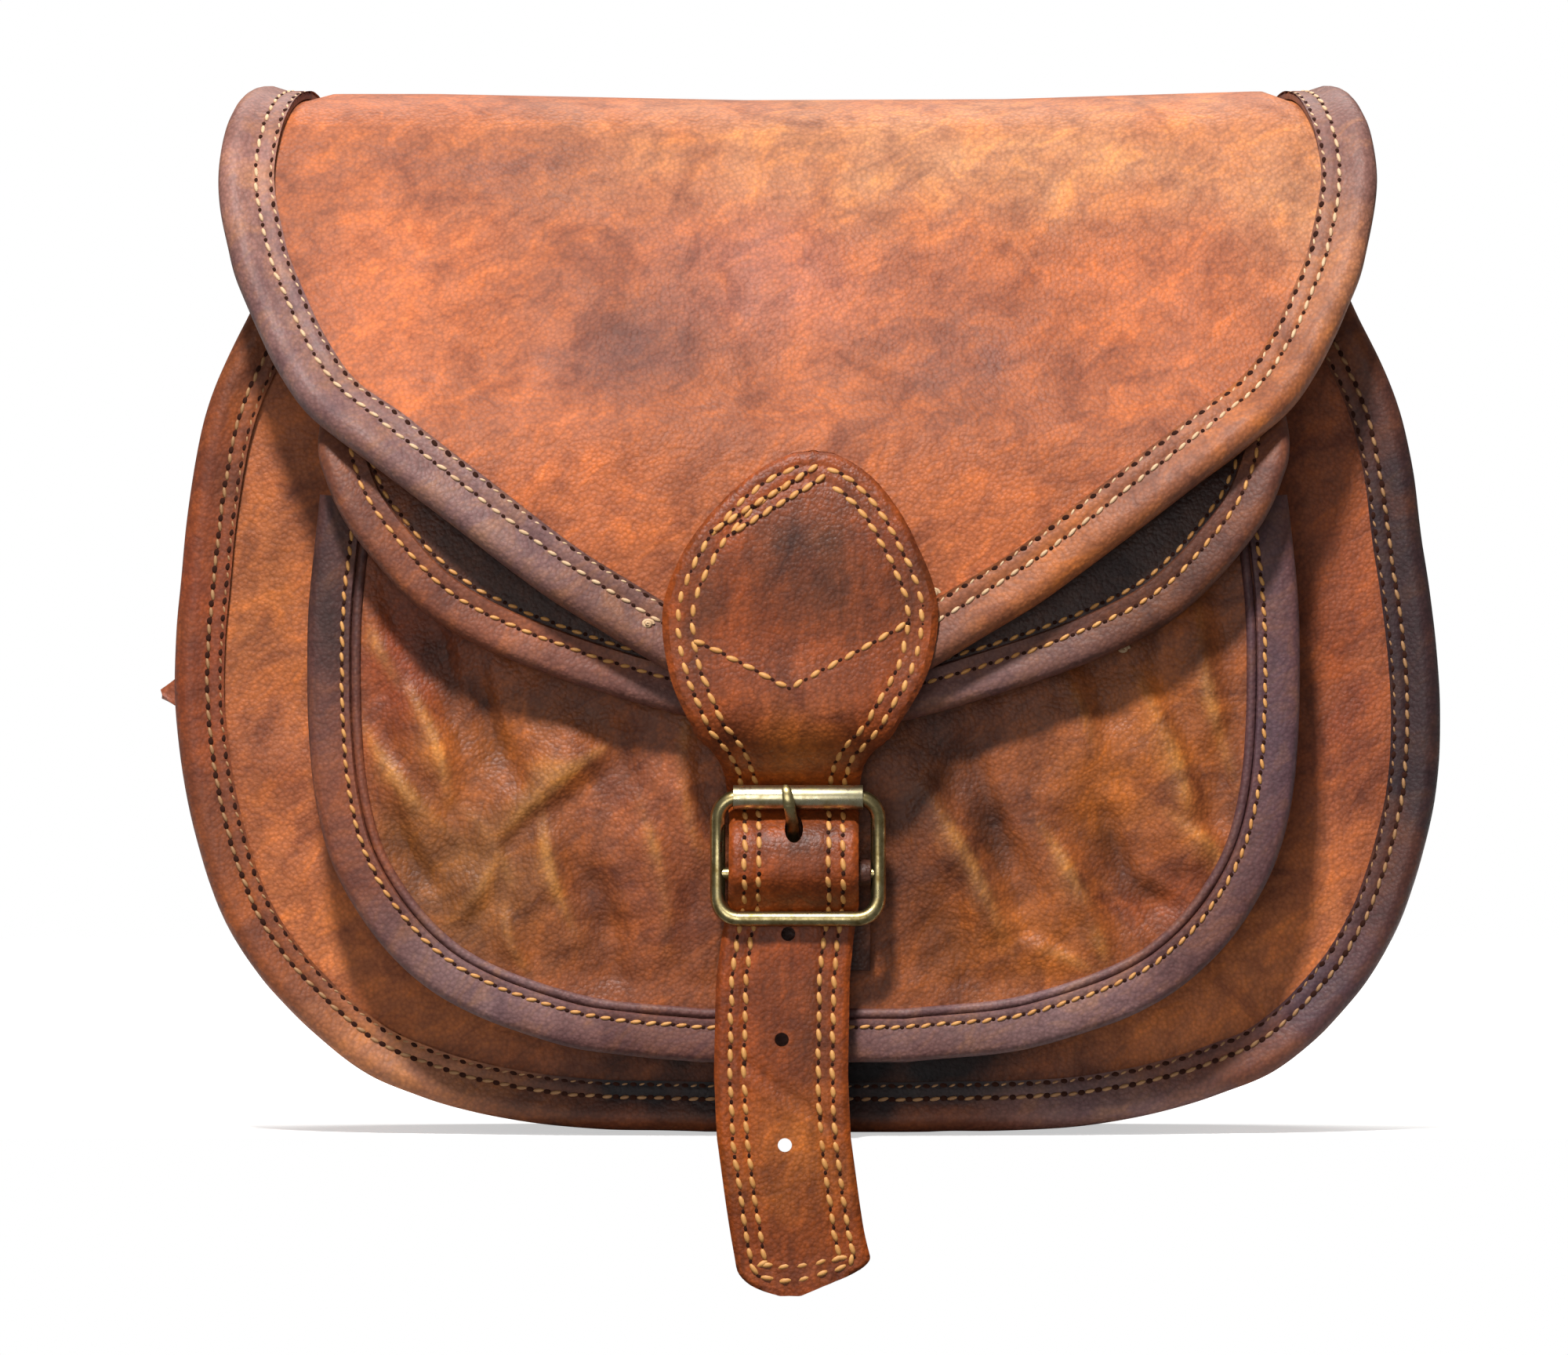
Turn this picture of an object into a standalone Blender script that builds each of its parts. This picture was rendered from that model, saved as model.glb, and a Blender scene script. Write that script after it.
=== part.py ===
"""Small leather saddle bag: a gusseted body, a buckled flap, a flapped front pocket and a sling.

Metres, +Z up. The front faces -Y and +X is the viewer's right. Heights in this file are
measured from the bag's base. The origin is midway between the two sling rings.
"""

import math

import bmesh
import bpy
from mathutils import Matrix, Vector

MM = 0.001

# Clearances and leather
GAP = 0.3 * MM
LOOSE_FIT = 0.5 * MM
BENT_GAP = 0.75 * MM
LAYER_CLEARANCE = 0.8 * MM
PANEL_LEATHER = 1.8 * MM
GUSSET_LEATHER = 1.5 * MM
BINDING_LEATHER = 1.2 * MM
STRAP_LEATHER = 2.0 * MM
LOOP_LEATHER = 1.0 * MM
BINDING_FRONT = 8.5 * MM
BINDING_BACK = 6.5 * MM

# Body
BODY_WIDTH = 240.0 * MM
BACK_HEIGHT = 185.0 * MM
MOUTH_DROP = 15.0 * MM
MOUTH_HEIGHT = BACK_HEIGHT - MOUTH_DROP
BASE_DEPTH = 54.0 * MM
TOP_DEPTH = 36.0 * MM
BELLY = 4.0 * MM

# Front pocket
POCKET_WIDTH = 189.0 * MM
POCKET_BOTTOM = 14.0 * MM
POCKET_TOP = 122.0 * MM
POCKET_DEPTH = 16.0 * MM
POCKET_BELLY = 2.5 * MM
POCKET_FLANGE = 6.5 * MM

# Pocket flap
POCKET_FLAP_WIDTH = 185.0 * MM
POCKET_FLAP_DROP = 18.0 * MM
POCKET_FLAP_ROOT = MOUTH_HEIGHT - POCKET_FLAP_DROP
POCKET_FLAP_TIP = 77.0 * MM

# Main flap
FLAP_WIDTH = 222.0 * MM
FLAP_TIP = 78.0 * MM
FLAP_ARCH = 14.0 * MM

# Closure strap and its roller buckle
SPADE_TOP = 130.0 * MM
SPADE_WIDTH = 52.0 * MM
STRAP_WIDTH = 25.4 * MM
STRAP_END = -30.0 * MM
HOLE_PITCH = 20.0 * MM
HOLE_COUNT = 4
HOLE_RADIUS = 1.5 * MM
TONGUE_SLOT = 6.6 * MM
TONGUE_HOLE_SHARE = 0.46
BAR_DROP = 28.0 * MM
BAR_HEIGHT = FLAP_TIP - BAR_DROP
BAR_RADIUS = 1.2 * MM
BAR_TO_ROLLER = 14.5 * MM
BAR_TO_HEEL = 8.5 * MM
BUCKLE_BOW = 2.0 * MM
BUCKLE_STAND = 7.0 * MM
WIRE_RADIUS = 1.5 * MM
ROLLER_RADIUS = 2.6 * MM
BUCKLE_SIDE_CLEARANCE = 1.0 * MM
TONGUE_WIDTH = 2.0 * MM
TONGUE_THICKNESS = 1.2 * MM
CHAPE_FOOT = 10.0 * MM
CHAPE_SLOT = 5.0 * MM

# Sling, its rings and its buckle
SLING_WIDTH = 18.0 * MM
SLING_LEATHER = 1.8 * MM
SLING_RUN = 100.0 * MM
SLING_RUNS = 8
SLING_LAP = 30.0 * MM
RING_DROP = 17.0 * MM
RING_HEIGHT = BACK_HEIGHT - RING_DROP
RING_WIRE = 1.5 * MM
RING_INNER = 12.0 * MM
RING_SIDE_CLEARANCE = 1.0 * MM
RING_LEAN = math.radians(40)
TAB_LENGTH = 34.0 * MM
SLING_BUCKLE_LENGTH = 18.0 * MM
SLING_BUCKLE_WIRE = 1.3 * MM
KEEPER_WIDTH = 8.0 * MM

# Mesh fineness
CURVE_STEPS = 2
FLAP_STEPS = 3
CREST_STEPS = (7, 9, 4)
PANEL_COLUMNS = 8
FLAP_COLUMNS = 2
WIRE_SIDES = 8
ROUND_SIDES = 16
HOLE_SIDES = 10
PUNCH_LENGTH = 24.0 * MM

# Outlines from the top corner to the middle of the base: (share of half width, share of height)
BODY_SHAPE = (
    (0.833, 1.0), (0.883, 0.93), (0.967, 0.78), (1.0, 0.5), (0.925, 0.26),
    (0.75, 0.1), (0.6, 0.04), (0.4, 0.008), (0.15, 0.0),
)
POCKET_SHAPE = (
    (0.975, 1.0), (1.0, 0.75), (0.985, 0.47), (0.91, 0.28), (0.74, 0.12), (0.476, 0.028), (0.21, 0.0),
)
POCKET_FLAP_SHAPE = (
    (0.93, 1.0), (0.995, 0.77), (0.98, 0.63), (0.914, 0.48), (0.757, 0.28), (0.53, 0.147),
    (0.25, 0.04), (0.086, 0.0),
)
FLAP_SHAPE = (
    (0.977, 0.84), (0.946, 0.75), (0.892, 0.636), (0.81, 0.533), (0.62, 0.379), (0.435, 0.234),
    (0.23, 0.103), (0.12, 0.04), (0.045, 0.0),
)
SPADE_SHAPE = (
    (0.12, 1.0), (0.4, 0.93), (0.72, 0.78), (0.96, 0.6), (1.0, 0.48), (0.93, 0.32), (0.74, 0.16),
)

# The sling's fall from a ring to the floor: (share inwards, share down) of the fall's height
SLING_FALL = ((0.0, 0.06), (0.0, 0.4), (0.02, 0.7), (0.1, 0.87), (0.24, 0.97))

# How far the pocket flap has risen off the body: (share of its height, share of the full lift)
POCKET_FLAP_RISE = (
    (0.973, 0.30), (0.887, 0.61), (0.76, 0.85), (0.6, 0.975), (0.373, 1.0), (0.0, 0.98),
)

LEATHER = {
    "flap": (0.45, 0.16, 0.06),
    "body": (0.35, 0.13, 0.05),
    "pocket": (0.27, 0.11, 0.04),
    "edge": (0.16, 0.06, 0.035),
    "strap": (0.21, 0.075, 0.03),
}
BRASS = (0.52, 0.42, 0.20)


def clear_scene():
    for thing in list(bpy.data.objects):
        bpy.data.objects.remove(thing, do_unlink=True)


def half_depth(height):
    """Half the body's thickness, front to back, at this height."""
    return (BASE_DEPTH + (TOP_DEPTH - BASE_DEPTH) * height / BACK_HEIGHT) / 2


def belly(x, height):
    """How far the full bag swells out of its flat panel planes."""
    across = max(0.0, 1 - (2 * x / BODY_WIDTH) ** 2)
    return BELLY * across * math.sin(math.pi * min(1.0, max(0.0, height / BACK_HEIGHT)))


def ring_bar(side):
    """Where the ring's lower bar lies on this side, as x and height."""
    spot = body_edge(RING_HEIGHT, wall_to_bar())
    return side * spot[0], spot[1]


def wall_to_bar():
    """Offset of the ring's bar from the body's outline, inwards negative."""
    return WALL_OUTER + LOOSE_FIT + LOOP_LEATHER + GAP + RING_WIRE


def place(x, y, height):
    """A point by its height above the base, moved to the frame that starts at the rings."""
    return Vector((x, y, height - RING_HEIGHT))


def on_front(x, height, lift):
    """A point lifted forward from the front panel's outer face."""
    return place(x, -half_depth(height) - belly(x, height) - lift, height)


def on_back(x, height, lift):
    """A point lifted backward from the back panel's outer face."""
    return place(x, half_depth(height) + lift, height)


def on_pocket(x, height, lift):
    """A point lifted forward from the pocket panel's outer face."""
    across = max(0.0, 1 - (2 * x / POCKET_WIDTH) ** 2)
    along = (height - POCKET_BOTTOM) / (POCKET_TOP - POCKET_BOTTOM)
    swell = POCKET_BELLY * across * math.sin(math.pi * min(1.0, max(0.0, along)))
    return on_front(x, height, POCKET_DEPTH + swell + lift)


def smooth(keys, steps, first_steps=()):
    """Points on a Catmull-Rom curve through the keys, with this many steps between two keys.

    The first spans can have step counts of their own.
    """
    ends = [2 * Vector(keys[0]) - Vector(keys[1])]
    ends += [Vector(key) for key in keys]
    ends += [2 * Vector(keys[-1]) - Vector(keys[-2])]
    points = []
    for k in range(1, len(ends) - 2):
        a, b, c, d = ends[k - 1:k + 3]
        count = first_steps[k - 1] if k <= len(first_steps) else steps
        for i in range(count):
            t = i / count
            points.append(
                0.5 * (2 * b + (c - a) * t + (2 * a - 5 * b + 4 * c - d) * t ** 2
                       + (3 * b - a - 3 * c + d) * t ** 3)
            )
    points.append(ends[-2])
    return points


def half_outline(shape, width, bottom, top):
    """The right half of a piece's outline, from its top corner to its base."""
    keys = [(share * width / 2, bottom + part * (top - bottom)) for share, part in shape]
    return smooth(keys, CURVE_STEPS)


def directions(points):
    """Unit tangents at each point of an open line."""
    found = []
    for i in range(len(points)):
        ahead = points[min(i + 1, len(points) - 1)]
        behind = points[max(i - 1, 0)]
        found.append((ahead - behind).normalized())
    return found


def whole(half):
    """The full outline: down the right side, along the base and up the left side."""
    return half + [Vector((-point[0], point[1])) for point in reversed(half)]


def inset(half, offset):
    """The half outline moved along its outward normals; a negative offset moves it inwards."""
    normals = edge_normals(whole(half))
    return [point + offset * normal for point, normal in zip(half, normals)]


def body_edge(height, offset):
    """A point at this height on the body's outline moved along its normal."""
    line = inset(half_outline(BODY_SHAPE, BODY_WIDTH, 0.0, MOUTH_HEIGHT), offset)
    for above, below in zip(line, line[1:]):
        if below[1] <= height <= above[1]:
            share = (height - below[1]) / (above[1] - below[1])
            return below + share * (above - below)
    return line[0] + (height - line[0][1]) * (line[0] - line[1]) / (line[0][1] - line[1][1])


def floor_height(x):
    """The height of the gusset's inner face under a point of the bag's floor."""
    line = inset(half_outline(BODY_SHAPE, BODY_WIDTH, 0.0, MOUTH_HEIGHT), WALL_INNER)
    for outer, inner in zip(line, line[1:]):
        if inner[0] <= x <= outer[0] and outer[1] < BAR_HEIGHT:
            share = (x - inner[0]) / (outer[0] - inner[0])
            return inner[1] + share * (outer[1] - inner[1])
    return line[-1][1]


class Profile:
    """A side view line, as y and height, that a piece as wide as X allows is bent along."""

    def __init__(self, keys, steps=12):
        self.points = smooth(keys, steps)
        self.lengths = [0.0]
        for a, b in zip(self.points, self.points[1:]):
            self.lengths.append(self.lengths[-1] + (b - a).length)

    def length(self):
        return self.lengths[-1]

    def at(self, distance):
        """The point and the outward normal this far along the line."""
        distance = min(max(distance, 0.0), self.length())
        k = 1
        while k < len(self.lengths) - 1 and self.lengths[k] < distance:
            k += 1
        a, b = self.points[k - 1], self.points[k]
        share = (distance - self.lengths[k - 1]) / (self.lengths[k] - self.lengths[k - 1])
        before = self.points[max(k - 2, 0)]
        after = self.points[min(k + 1, len(self.points) - 1)]
        tangent = ((b - before) * (1 - share) + (after - a) * share).normalized()
        return a + share * (b - a), Vector((tangent[1], -tangent[0]))

    def down_to(self, height):
        """How far along the line its falling front part passes this height."""
        for k in range(len(self.points) - 1, 0, -1):
            a, b = self.points[k - 1], self.points[k]
            if b[1] <= height <= a[1]:
                share = (a[1] - height) / (a[1] - b[1])
                return self.lengths[k - 1] + share * (self.lengths[k] - self.lengths[k - 1])
        return self.length()

    def level(self, height):
        """The flat pattern's own height: minus the distance along the line."""
        return -self.down_to(height)

    def surface(self):
        """Maps x, the flat pattern's height and the lift off the line to a point."""
        def point(x, level, lift):
            spot, normal = self.at(-level)
            spot = spot + lift * normal
            return place(x, spot[0], spot[1])
        return point


def material(name, color, roughness, metallic):
    made = bpy.data.materials.new(name)
    made.use_nodes = True
    shader = made.node_tree.nodes["Principled BSDF"]
    shader.inputs["Base Color"].default_value = (*color, 1.0)
    shader.inputs["Roughness"].default_value = roughness
    shader.inputs["Metallic"].default_value = metallic
    return made


def leather(name, kind):
    return material(name + "_leather", LEATHER[kind], 0.55, 0.0)


def brass(name):
    return material(name + "_brass", BRASS, 0.35, 1.0)


def add_object(name, mesh_builder, finish, pivot=None):
    """Link a mesh as a named object, with its origin on the pivot where it has one."""
    mesh = bpy.data.meshes.new(name)
    start = pivot or Vector((0, 0, 0))
    bmesh.ops.translate(mesh_builder, verts=mesh_builder.verts, vec=-start)
    mesh_builder.to_mesh(mesh)
    mesh_builder.free()
    mesh.materials.append(finish)
    mesh.shade_smooth()
    mesh.set_sharp_from_angle(angle=math.radians(35))
    thing = bpy.data.objects.new(name, mesh)
    thing.location = start
    bpy.context.scene.collection.objects.link(thing)
    return thing


def skin(name, rows, surface, thickness, finish, facing=1, pivot=None, columns=PANEL_COLUMNS):
    """A sheet of leather: its outer face follows the surface over rows of (half width, height)."""
    builder = bmesh.new()
    last = len(rows) - 1
    bmesh.ops.create_grid(builder, x_segments=columns, y_segments=last, size=1.0)
    for vert in builder.verts:
        row = rows[round((1 - vert.co.y) / 2 * last)]
        vert.co = surface(facing * vert.co.x * row[0], row[1], 0.0)
    thing = add_object(name, builder, finish, pivot)
    solid = thing.modifiers.new("thickness", "SOLIDIFY")
    solid.thickness = thickness
    solid.offset = -1
    solid.use_even_offset = True
    return thing


def loft(sections):
    """A closed body through rings of points, capped at both ends."""
    builder = bmesh.new()
    rings = [[builder.verts.new(point) for point in section] for section in sections]
    count = len(rings[0])
    for ring, following in zip(rings, rings[1:]):
        for i in range(count):
            j = (i + 1) % count
            builder.faces.new((ring[i], ring[j], following[j], following[i]))
    builder.faces.new(list(reversed(rings[0])))
    builder.faces.new(rings[-1])
    bmesh.ops.recalc_face_normals(builder, faces=builder.faces)
    return builder


def edge_normals(path):
    """Outward in-plane normals of an outline that runs down the right side first."""
    return [Vector((-tangent[1], tangent[0])) for tangent in directions(path)]


def binding(name, path, surface, backing, finish, gap=GAP, pivot=None):
    """A strip folded round an edge: a front leg, a rounded fold and a leg behind the backing."""
    front = gap + BINDING_LEATHER
    back = -(backing + gap + BINDING_LEATHER)
    round_off = 0.45 * BINDING_LEATHER
    section = (
        (-BINDING_FRONT, front), (-BINDING_FRONT, gap), (-BINDING_LEATHER, gap),
        (-BINDING_LEATHER, back + BINDING_LEATHER), (-BINDING_BACK, back + BINDING_LEATHER),
        (-BINDING_BACK, back), (-round_off, back), (0.0, back + round_off),
        (0.0, front - round_off), (-round_off, front),
    )
    rings = []
    for point, normal in zip(path, edge_normals(path)):
        rings.append([surface(*(point + a * normal), lift) for a, lift in section])
    return add_object(name, loft(rings), finish, pivot)


def bevelled_curve(name, points, radius, cyclic=False):
    """A round wire along the points, as an evaluated mesh."""
    curve = bpy.data.curves.new(name, "CURVE")
    curve.dimensions = "3D"
    curve.bevel_depth = radius
    curve.bevel_resolution = (WIRE_SIDES - 4) // 2
    curve.use_fill_caps = True
    spline = curve.splines.new("POLY")
    spline.points.add(len(points) - 1)
    for spot, point in zip(spline.points, points):
        spot.co = (*point, 1.0)
    spline.use_cyclic_u = cyclic
    thing = bpy.data.objects.new(name, curve)
    bpy.context.scene.collection.objects.link(thing)
    graph = bpy.context.evaluated_depsgraph_get()
    builder = bmesh.new()
    builder.from_mesh(thing.evaluated_get(graph).to_mesh())
    bmesh.ops.remove_doubles(builder, verts=builder.verts, dist=0.001 * MM)
    bmesh.ops.recalc_face_normals(builder, faces=builder.faces)
    bpy.data.objects.remove(thing, do_unlink=True)
    return builder


def rounded_rectangle(half_width, low, high, corner, steps=3):
    """A closed line of (across, along) points with round corners."""
    points = []
    corners = (
        (half_width - corner, high - corner, 0), (corner - half_width, high - corner, 90),
        (corner - half_width, low + corner, 180), (half_width - corner, low + corner, 270),
    )
    for across, along, start in corners:
        for i in range(steps + 1):
            angle = math.radians(start + 90 * i / steps)
            points.append((across + corner * math.cos(angle), along + corner * math.sin(angle)))
    return points


def ribbon(line, thickness, half_width, point):
    """A strap of even thickness along a flat line; point(a, b, c) places it, c across its width."""
    sections = []
    for spot, tangent in zip(line, directions(line)):
        normal = Vector((-tangent[1], tangent[0])) * thickness / 2
        sections.append([
            point(*(spot + normal), half_width), point(*(spot + normal), -half_width),
            point(*(spot - normal), -half_width), point(*(spot - normal), half_width),
        ])
    return loft(sections)


def arc(centre, radius, start, end, steps):
    """Points round a centre, with angles in degrees."""
    points = []
    for i in range(steps + 1):
        angle = math.radians(start + (end - start) * i / steps)
        turn = Vector((math.cos(angle), math.sin(angle)))
        points.append(Vector(centre) + radius * turn)
    return points


def cylinder(radius, depth, middle, axis, sides=ROUND_SIDES):
    """A closed cylinder about its middle, along X or Y."""
    builder = bmesh.new()
    bmesh.ops.create_cone(
        builder, cap_ends=True, segments=sides, radius1=radius, radius2=radius, depth=depth)
    turn = Vector((0, 0, 1)).rotation_difference(axis).to_matrix()
    bmesh.ops.rotate(builder, verts=builder.verts, cent=(0, 0, 0), matrix=turn)
    bmesh.ops.translate(builder, verts=builder.verts, vec=middle)
    return builder


def block(low, high):
    """A closed box between two corners."""
    builder = bmesh.new()
    bmesh.ops.create_cube(builder, size=1.0)
    for vert in builder.verts:
        for i in range(3):
            vert.co[i] = high[i] if vert.co[i] > 0 else low[i]
    return builder


def join(builders):
    """Several separate closed bodies in one builder."""
    joined = bmesh.new()
    for builder in builders:
        mesh = bpy.data.meshes.new("joined")
        builder.to_mesh(mesh)
        builder.free()
        joined.from_mesh(mesh)
        bpy.data.meshes.remove(mesh)
    return joined


def combine(thing, tool_name, tool_builder, operation):
    """Cut a tool out of the object, or unite the two, and keep the tool as a hidden guide."""
    tool = add_object(tool_name, tool_builder, thing.data.materials[0])
    tool.hide_render = True
    tool.display_type = "WIRE"
    change = thing.modifiers.new(tool_name, "BOOLEAN")
    change.operation = operation
    change.solver = "EXACT"
    change.object = tool
    return thing


# Pieces stacked under the pocket flap and the main flap
EDGE_STACK = PANEL_LEATHER + BENT_GAP + BINDING_LEATHER
EDGE_RISE = BENT_GAP + BINDING_LEATHER
PANEL_EDGE = BINDING_LEATHER + GAP
WALL_OUTER = -(BINDING_BACK + GAP)
WALL_INNER = WALL_OUTER - GUSSET_LEATHER
SEAM_BACKING = PANEL_LEATHER + GAP + GUSSET_LEATHER
POCKET_FLAP_LIFT = POCKET_DEPTH + POCKET_BELLY + LAYER_CLEARANCE + EDGE_STACK + EDGE_RISE / 2


def pocket_flap_profile():
    """From the sewn root forward over the pocket's mouth and down in front of it."""
    fall = POCKET_FLAP_ROOT - POCKET_FLAP_TIP
    keys = [(on_front(0, POCKET_FLAP_ROOT, GAP + PANEL_LEATHER / 2).y, POCKET_FLAP_ROOT)]
    for part, share in POCKET_FLAP_RISE:
        height = POCKET_FLAP_TIP + part * fall
        keys.append((on_front(0, height, share * POCKET_FLAP_LIFT).y, height))
    return Profile(keys)


def flap_profile():
    """From the back seam over the top, then down in front of the pocket flap."""
    back = half_depth(BACK_HEIGHT)
    inner = pocket_flap_profile()
    spread = EDGE_RISE + LAYER_CLEARANCE + EDGE_STACK
    keys = [
        (back, BACK_HEIGHT),
        (back, BACK_HEIGHT + 0.2 * FLAP_ARCH),
        (0.76 * back, BACK_HEIGHT + 0.7 * FLAP_ARCH),
        (0.0, BACK_HEIGHT + FLAP_ARCH),
        (-0.85 * back, BACK_HEIGHT + 0.72 * FLAP_ARCH),
        (-1.42 * back, BACK_HEIGHT - 0.15 * FLAP_ARCH),
    ]
    for part in (0.86, 0.72, 0.56, 0.36):
        height = POCKET_FLAP_TIP + part * (POCKET_FLAP_ROOT - POCKET_FLAP_TIP)
        spot, normal = inner.at(inner.down_to(height))
        spot = spot + spread * normal
        keys.append((spot[0], spot[1]))
    keys.append((inner.points[-1][0] - spread, FLAP_TIP))
    return Profile(keys)


def buckle_bar():
    """Where the centre bar lies, as y and height."""
    return Vector((on_pocket(0, BAR_HEIGHT, BUCKLE_STAND).y, BAR_HEIGHT))


def strap_profile():
    """The closure strap's middle line: down the flap, under the roller and over the centre bar."""
    flap = flap_profile()
    rise = EDGE_RISE + GAP + STRAP_LEATHER / 2
    keys = []
    for share in (1.0, 0.66, 0.33, 0.0):
        height = FLAP_TIP + share * (SPADE_TOP - FLAP_TIP)
        spot, normal = flap.at(flap.down_to(height))
        spot = spot + rise * normal
        keys.append((spot[0], spot[1]))
    bar = buckle_bar()
    frame_y = bar[0] - BUCKLE_BOW
    half = STRAP_LEATHER / 2
    under_roller = frame_y + ROLLER_RADIUS + GAP + half
    wrap = LOOSE_FIT + max(LOOP_LEATHER, TONGUE_THICKNESS) + LOOSE_FIT
    over_bar = bar[0] - (BAR_RADIUS + wrap + half)
    under_heel = frame_y + WIRE_RADIUS + GAP + half
    keys += [
        (under_roller, BAR_HEIGHT + BAR_TO_ROLLER + 0.1 * BAR_TO_ROLLER),
        (under_roller, BAR_HEIGHT + BAR_TO_ROLLER - 0.1 * BAR_TO_ROLLER),
        (over_bar, BAR_HEIGHT + 0.12 * BAR_TO_HEEL),
        (over_bar, BAR_HEIGHT - 0.12 * BAR_TO_HEEL),
        (under_heel, BAR_HEIGHT - BAR_TO_HEEL + 0.1 * BAR_TO_HEEL),
        (under_heel, BAR_HEIGHT - BAR_TO_HEEL - 0.3 * BAR_TO_HEEL),
        (under_heel, (BAR_HEIGHT - BAR_TO_HEEL + STRAP_END) / 2),
        (under_heel + STRAP_LEATHER, STRAP_END),
    ]
    return Profile(keys)


def build_body():
    """Front and back panels, the gusset between them and the two bindings round the seams."""
    half = half_outline(BODY_SHAPE, BODY_WIDTH, 0.0, MOUTH_HEIGHT)
    path = whole(half)
    rows = inset(half, -PANEL_EDGE)
    skin("front_panel", rows, on_front, PANEL_LEATHER, leather("front_panel", "body"))
    shoulder = Vector((rows[0][0] - (BACK_HEIGHT - MOUTH_HEIGHT) * 0.25, BACK_HEIGHT - GAP))
    back_rows = [shoulder] + rows
    skin("back_panel", back_rows, on_back, PANEL_LEATHER, leather("back_panel", "body"), facing=-1)
    binding("front_binding", path, on_front, SEAM_BACKING, leather("front_binding", "edge"))
    binding("back_binding", path, on_back, SEAM_BACKING, leather("back_binding", "edge"))

    outer_lift = -(PANEL_LEATHER + GAP)
    inner_lift = outer_lift - GUSSET_LEATHER
    section = (
        (on_front, -PANEL_EDGE, outer_lift), (on_front, WALL_INNER, outer_lift),
        (on_back, WALL_INNER, outer_lift), (on_back, -PANEL_EDGE, outer_lift),
        (on_back, -PANEL_EDGE, inner_lift), (on_back, WALL_OUTER, inner_lift),
        (on_front, WALL_OUTER, inner_lift), (on_front, -PANEL_EDGE, inner_lift),
    )
    rings = []
    for point, normal in zip(path, edge_normals(path)):
        rings.append([face(*(point + a * normal), lift) for face, a, lift in section])
    add_object("gusset", loft(rings), leather("gusset", "body"))


def build_pocket():
    """The patch pocket: a panel held off the body by its own gusset, with a bound edge."""
    half = half_outline(POCKET_SHAPE, POCKET_WIDTH, POCKET_BOTTOM, POCKET_TOP)
    path = whole(half)
    rows = inset(half, -PANEL_EDGE)
    skin("pocket_panel", rows, on_pocket, PANEL_LEATHER, leather("pocket_panel", "pocket"))
    binding("pocket_binding", path, on_pocket, SEAM_BACKING, leather("pocket_binding", "edge"))

    outer_lift = -(PANEL_LEATHER + GAP)
    flange_inner = WALL_INNER - POCKET_FLANGE
    flange_top = GAP + GUSSET_LEATHER
    section = (
        (on_pocket, -PANEL_EDGE, outer_lift), (on_pocket, WALL_INNER, outer_lift),
        (on_front, WALL_INNER, flange_top), (on_front, flange_inner, flange_top),
        (on_front, flange_inner, GAP), (on_front, WALL_OUTER, GAP),
        (on_pocket, WALL_OUTER, outer_lift - GUSSET_LEATHER),
        (on_pocket, -PANEL_EDGE, outer_lift - GUSSET_LEATHER),
    )
    rings = []
    for point, normal in zip(path, edge_normals(path)):
        rings.append([face(*(point + a * normal), lift) for face, a, lift in section])
    add_object("pocket_gusset", loft(rings), leather("pocket_gusset", "pocket"))


def add_flap(name, half, profile):
    """A flap's panel and its bound edge, both hinged on the profile's first point."""
    surface = profile.surface()
    pivot = place(0, profile.points[0][0], profile.points[0][1])
    rows = inset(half, -PANEL_EDGE)
    rows[0] = Vector((rows[0][0], 0.0))
    rows.insert(1, Vector((rows[0][0], -PANEL_LEATHER)))
    look = leather(name + "_panel", "flap")
    skin(name + "_panel", rows, surface, PANEL_LEATHER, look, pivot=pivot, columns=FLAP_COLUMNS)
    edge = [point for point in half if point[1] < -BINDING_BACK]
    look = leather(name + "_binding", "edge")
    binding(name + "_binding", whole(edge), surface, PANEL_LEATHER, look, BENT_GAP, pivot)


def build_pocket_flap():
    """The pocket's own flap, sewn to the front panel above the pocket."""
    profile = pocket_flap_profile()
    fall = POCKET_FLAP_ROOT - POCKET_FLAP_TIP
    keys = []
    for share, part in POCKET_FLAP_SHAPE:
        level = profile.level(POCKET_FLAP_TIP + part * fall)
        keys.append((share * POCKET_FLAP_WIDTH / 2, level))
    keys[0] = (keys[0][0], 0.0)
    add_flap("pocket_flap", smooth(keys, FLAP_STEPS), profile)


def build_flap():
    """The main flap, sewn to the back panel's top edge, with its bound edge."""
    profile = flap_profile()
    fall = BACK_HEIGHT - FLAP_TIP
    crest = 0.48 * profile.level(BACK_HEIGHT)
    keys = [(0.45 * FLAP_WIDTH, 0.0), (0.478 * FLAP_WIDTH, crest)]
    keys.append((0.5 * FLAP_WIDTH, profile.level(BACK_HEIGHT)))
    for share, part in FLAP_SHAPE:
        keys.append((share * FLAP_WIDTH / 2, profile.level(FLAP_TIP + part * fall)))
    add_flap("flap", smooth(keys, FLAP_STEPS, CREST_STEPS), profile)


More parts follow.
